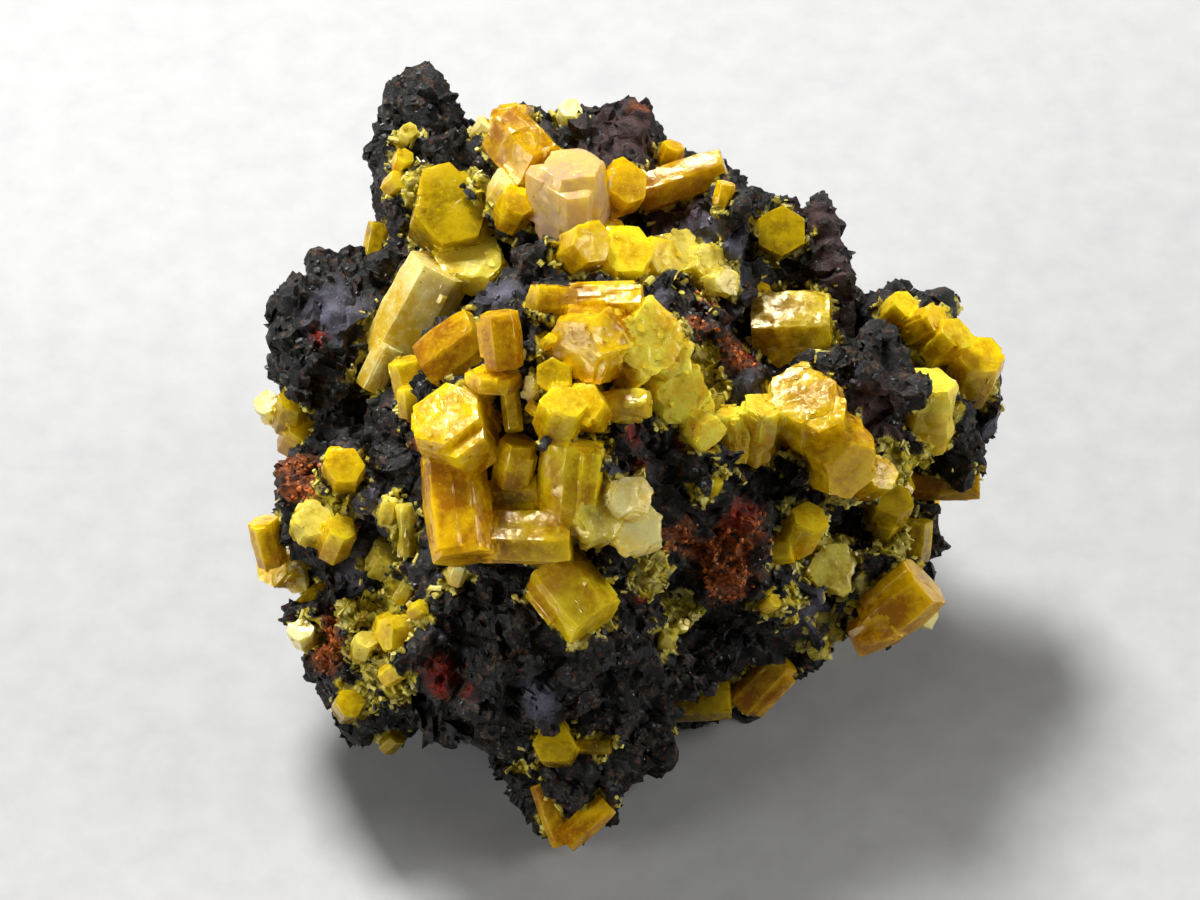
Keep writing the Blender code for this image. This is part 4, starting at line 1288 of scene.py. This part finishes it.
class Surface(Tree):
    """A material whose nodes end in its Principled shader."""

    def __init__(self, name):
        self.material = bpy.data.materials.new(name)
        self.material.use_nodes = True
        super().__init__(self.material.node_tree, "ShaderNode")
        self.shader = self.tree.nodes["Principled BSDF"]
        self.shader.subsurface_method = "BURLEY"
        metres = self.add("TexCoord", output="Object")
        self.place = self.add("VectorMath", {0: metres, 3: 1 / MM}, operation="SCALE")

    def set(self, **inputs):
        for name, value in inputs.items():
            self.put(self.shader.inputs[name.replace("_", " ")], value)

    def noise(self, size, detail=3.0, rough=0.55, output="Fac"):
        """Noise whose features are about that many mm across."""
        inputs = {"Vector": self.place, "Scale": 1 / size, "Detail": detail, "Roughness": rough}
        return self.add("TexNoise", inputs, output=output)

    def cells(self, size, output="Color"):
        inputs = {"Vector": self.place, "Scale": 1 / size}
        return self.add("TexVoronoi", inputs, output=output)

    def sum(self, a, b):
        return self.add("Math", {0: a, 1: b}, operation="ADD")

    def times(self, a, b):
        return self.add("Math", {0: a, 1: b}, operation="MULTIPLY")

    def span(self, value, low, high, start=0.0, end=1.0):
        """The value's range from low to high stretched over start to end, and held there."""
        inputs = {"Value": value, "From Min": low, "From Max": high}
        return self.add("MapRange", {**inputs, "To Min": start, "To Max": end})

    def mix(self, share, first, second, blend="MIX"):
        node = self.tree.nodes.new("ShaderNodeMix")
        node.data_type = "RGBA"
        node.blend_type = blend
        for place, value in ((0, share), (6, first), (7, second)):
            colour = isinstance(value, tuple) and len(value) == 3
            self.put(node.inputs[place], (*value, 1) if colour else value)
        return node.outputs[2]

    def stored(self, name, output="Fac"):
        return self.add("Attribute", output=output, attribute_name=name)

    def channel(self, colour, letter):
        return self.add("SeparateXYZ", {0: colour}, output="XYZ".index(letter))

    def bump(self, height, distance, before=None):
        """A bump that is that many mm high."""
        inputs = {"Height": height, "Distance": distance * MM}
        if before is not None:
            inputs["Normal"] = before
        return self.add("Bump", inputs)


def crystal_finish():
    """Waxy, translucent mimetite: deeper within; paler at edges, a painted glow of light through
    thin parts; darker toward one end of its axis, painted shade at its foot; frosted, with a
    painted sheen, where it faces up.
    """
    s = Surface("mimetite_crystal")
    grown = s.stored("grown", "Vector")
    tip = s.channel(grown, "X")
    edge = s.channel(grown, "Y")
    frost = s.channel(grown, "Z")
    clouds = s.noise(1.3, 3.0)
    patches = s.noise(0.35, 4.0, 0.65)
    share = s.sum(s.span(clouds, 0.35, 0.65, -0.1, 0.65), s.span(patches, 0.4, 0.7, -0.1, 0.3))
    # Paler near the edges: a painted glow of light passing through thin parts
    share = s.sum(share, s.times(edge, 0.6))
    # Deeper toward one end of the axis, paler toward the other: painted shade at the crystal's
    # foot
    share = s.sum(share, s.span(tip, 0.15, 1.0, -0.3, 0.3))
    # Small random cells lifted toward the pale colour: painted sparkle; the same cells also shape
    # the bump below
    glitter = s.channel(s.cells(0.13), "X")
    share = s.sum(share, s.span(glitter, 0.75, 1.0, 0.0, 0.35))
    colour = s.mix(share, s.stored("deep", "Color"), s.stored("light", "Color"))
    # Faces that point up are mixed toward pale cream (240, 222, 150): partly frost, partly a
    # painted sheen of light from above
    facing = s.channel(s.add("NewGeometry", output="Normal"), "Z")
    frost_and_top_sheen = s.times(s.span(facing, 0.25, 0.85), frost)
    frost_and_top_sheen = s.times(frost_and_top_sheen, s.span(patches, 0.4, 0.6, 0.1, 1.0))
    colour = s.mix(s.times(frost_and_top_sheen, 0.4), colour, srgb(240, 222, 150))
    specks = s.add("TexVoronoi", {"Vector": s.place, "Scale": 1.7}, output="Distance")
    sooty = s.times(s.span(specks, 0.1, 0.05), s.span(s.noise(1.3), 0.52, 0.6))
    colour = s.mix(s.times(sooty, 0.8), colour, srgb(52, 50, 16))
    gloss = s.sum(s.span(patches, 0.4, 0.75, 0.06, 0.26), s.times(frost_and_top_sheen, 0.2))
    s.set(Base_Color=colour, Roughness=gloss, IOR=1.6, Specular_Tint=(1.0, 0.86, 0.54, 1.0))
    s.set(Transmission_Weight=0.35)
    height = s.sum(s.times(glitter, s.sum(s.times(frost, 0.6), 0.22)), s.times(patches, 0.8))
    s.set(Normal=s.bump(height, 0.05))
    s.set(Subsurface_Weight=0.8, Subsurface_Radius=(1.0, 0.82, 0.05))
    s.set(Subsurface_Scale=1.0 * MM)
    return s.material


def rock_finish():
    """Near-black gossan with purple-grey breaks, brown and rusty stains and tiny glints."""
    s = Surface("iron_gossan")
    broad = s.noise(3.2, 3.0)
    mid = s.noise(0.7, 4.0, 0.6)
    fine = s.noise(0.16, 4.0, 0.7)
    bit = s.channel(s.cells(0.4), "X")
    grit = s.cells(0.17)
    grain = s.channel(grit, "X")
    dark = s.mix(s.span(broad, 0.4, 0.62), srgb(8, 9, 8), srgb(20, 20, 18))
    dark = s.mix(s.span(bit, 0.7, 1.0, 0.0, 0.7), dark, srgb(46, 46, 48))
    dark = s.mix(s.span(mid, 0.6, 0.74, 0.0, 0.7), dark, srgb(38, 26, 18))
    dark = s.mix(s.span(s.noise(0.9), 0.6, 0.7, 0.0, 0.5), dark, srgb(22, 32, 18))
    gritty = s.span(mid, 0.42, 0.58)
    tan_grit = s.times(s.span(grain, 0.78, 0.9, 0.0, 0.75), gritty)
    rusty_grit = s.times(s.span(grain, 0.16, 0.08, 0.0, 0.7), gritty)
    dark = s.mix(tan_grit, dark, srgb(84, 76, 62))
    dark = s.mix(rusty_grit, dark, srgb(92, 50, 24))
    grey = s.times(s.stored("grey"), s.span(fine, 0.3, 0.6, 0.5, 1.0))
    colour = s.mix(grey, dark, srgb(92, 90, 104))
    brown = s.times(s.stored("brown"), s.span(mid, 0.35, 0.6, 0.3, 0.9))
    colour = s.mix(brown, colour, srgb(66, 44, 42))
    rusty = s.mix(s.span(fine, 0.35, 0.7), srgb(56, 26, 12), srgb(190, 98, 20))
    colour = s.mix(s.times(s.stored("rust"), s.span(mid, 0.32, 0.5, 0.2, 1.0)), colour, rusty)
    reds = s.mix(s.span(fine, 0.4, 0.65), srgb(92, 16, 10), srgb(178, 52, 20))
    colour = s.mix(s.times(s.stored("red"), s.span(mid, 0.35, 0.5, 0.2, 1.0)), colour, reds)
    greenish = s.mix(s.span(mid, 0.42, 0.58), srgb(124, 112, 12), srgb(206, 186, 40))
    pale = s.span(s.noise(1.1), 0.5, 0.62)
    greenish = s.mix(s.times(pale, 0.7), greenish, srgb(222, 212, 130))
    crust = s.span(s.sum(s.stored("druse"), s.times(fine, 0.7)), 0.62, 0.8)
    colour = s.mix(s.times(crust, 0.9), colour, greenish)
    glint = s.channel(s.cells(0.11), "Y")
    spark = s.span(glint, 0.9, 0.93)
    rough = s.span(fine, 0.3, 0.7, 0.42, 0.75)
    rough = s.add("Math", {0: rough, 1: s.times(spark, 0.4)}, operation="SUBTRACT")
    s.set(Base_Color=colour, Roughness=rough, IOR=1.45, Specular_IOR_Level=0.28)
    s.set(Subsurface_Weight=s.times(crust, 0.5), Subsurface_Radius=(1.0, 0.8, 0.2))
    s.set(Subsurface_Scale=0.4 * MM)
    coarse = s.bump(s.sum(mid, s.times(bit, 0.6)), 0.12)
    s.set(Normal=s.bump(s.sum(fine, s.times(s.channel(grit, "Z"), 0.8)), 0.07, coarse))
    return s.material


def crumb_finish(name, dark, light, ior):
    """Loose crumbs: each a tone between two colours, with a fine grainy skin."""
    s = Surface(name)
    tone = s.stored("tone")
    grain = s.noise(0.12, 3.0, 0.6)
    share = s.sum(s.times(tone, 0.7), s.span(grain, 0.3, 0.7, -0.1, 0.4))
    s.set(Base_Color=s.mix(share, srgb(*dark), srgb(*light)))
    s.set(Roughness=s.span(tone, 0.0, 1.0, 0.25, 0.65), IOR=ior)
    s.set(Normal=s.bump(grain, 0.03))
    return s.material


def floor_finish():
    s = Surface("pale_floor")
    speckle = s.noise(2.0, 4.0)
    grey = s.mix(s.span(speckle, 0.3, 0.7), (0.34, 0.34, 0.34), (0.38, 0.38, 0.375))
    s.set(Base_Color=grey, Roughness=0.7)
    return s.material


# ---------------------------------------------------------------- the scene


def add_floor():
    bm = bmesh.new()
    bmesh.ops.create_grid(bm, x_segments=1, y_segments=1, size=FLOOR_REACH)
    floor = new_object("floor", bm)
    floor.data.materials.append(floor_finish())


# The lights: direction in the display view, distance and size in mm, power in watts
LIGHTS = {
    "soft_box": ((-0.3, 1.0, 0.25), 330, 95, 2.3),
    "right_fill": ((1.0, 0.25, 0.35), 450, 200, 1.4),
    "left_fill": ((-1.0, -0.1, 0.5), 450, 200, 1.3),
}


def add_light(name, direction, distance, size, power):
    """A soft square light, seen from the specimen in a direction of the display view."""
    data = bpy.data.lights.new(name, "AREA")
    data.size = size * MM
    data.energy = power
    lamp = add_object(name, data)
    away = (view_axes(DISPLAY) @ Vector(direction)).normalized()
    lamp.location = (VIEW_MIDDLE + away * distance) * MM
    lamp.rotation_mode = "QUATERNION"
    lamp.rotation_quaternion = away.to_track_quat("Z", "Y")


def add_lights():
    for name, light in LIGHTS.items():
        add_light(name, *light)
    world = bpy.data.worlds.new("studio")
    world.use_nodes = True
    air = world.node_tree.nodes["Background"].inputs
    air["Color"].default_value = (1.0, 0.98, 0.94, 1)
    air["Strength"].default_value = 0.1
    bpy.context.scene.world = world
    bpy.context.scene.view_settings.view_transform = "Standard"


def add_camera():
    """The camera in the display view, whose middle it looks at."""
    data = bpy.data.cameras.new("camera")
    data.sensor_width = SENSOR_WIDTH
    data.lens = SENSOR_WIDTH * EYE_DISTANCE / VIEW_WIDTH
    data.clip_start, data.clip_end = 0.01, 10
    camera = add_object("camera", data)
    camera.rotation_mode = "QUATERNION"
    camera.location = eye_of(DISPLAY) * MM
    camera.rotation_quaternion = view_axes(DISPLAY).to_quaternion()
    bpy.context.scene.camera = camera


def add_grains(rock):
    dark = crumb_finish("dark_crumb", (9, 9, 9), (44, 43, 46), 1.45)
    rust = crumb_finish("rust_crumb", (60, 24, 8), (206, 108, 26), 1.45)
    pale = crumb_finish("fine_mimetite", (128, 112, 10), (228, 214, 96), 1.6)
    # pale grains that stand in for glints: painted highlights
    clear = crumb_finish("painted_glint_grain", (150, 150, 140), (236, 236, 226), 1.6)
    for name, finish in zip(GRAINS, (dark, rust, pale, clear)):
        scatter(name, rock, finish)


def main():
    noise.seed_set(FACET_SEED)
    seat_form = seat_rock()
    rock_tree = BVHTree.FromObject(seat_form, bpy.context.evaluated_depsgraph_get())
    placed = seated_crystals(rock_tree)
    bpy.data.objects.remove(seat_form)
    crystal_tree = tree_of_crystals(placed)
    spots = stained_places(rock_tree)
    rock = fine_rock(crystal_tree, spots)
    stain_rock(rock, spots, crystal_tree)
    add_crystal_pieces(placed, crystal_finish())
    add_grains(rock)
    shade(rock, rock_finish(), ROCK_CREASE)
    finish_piece(rock, "gossan", "gossan_matrix")
    add_floor()
    add_lights()
    add_camera()


main()
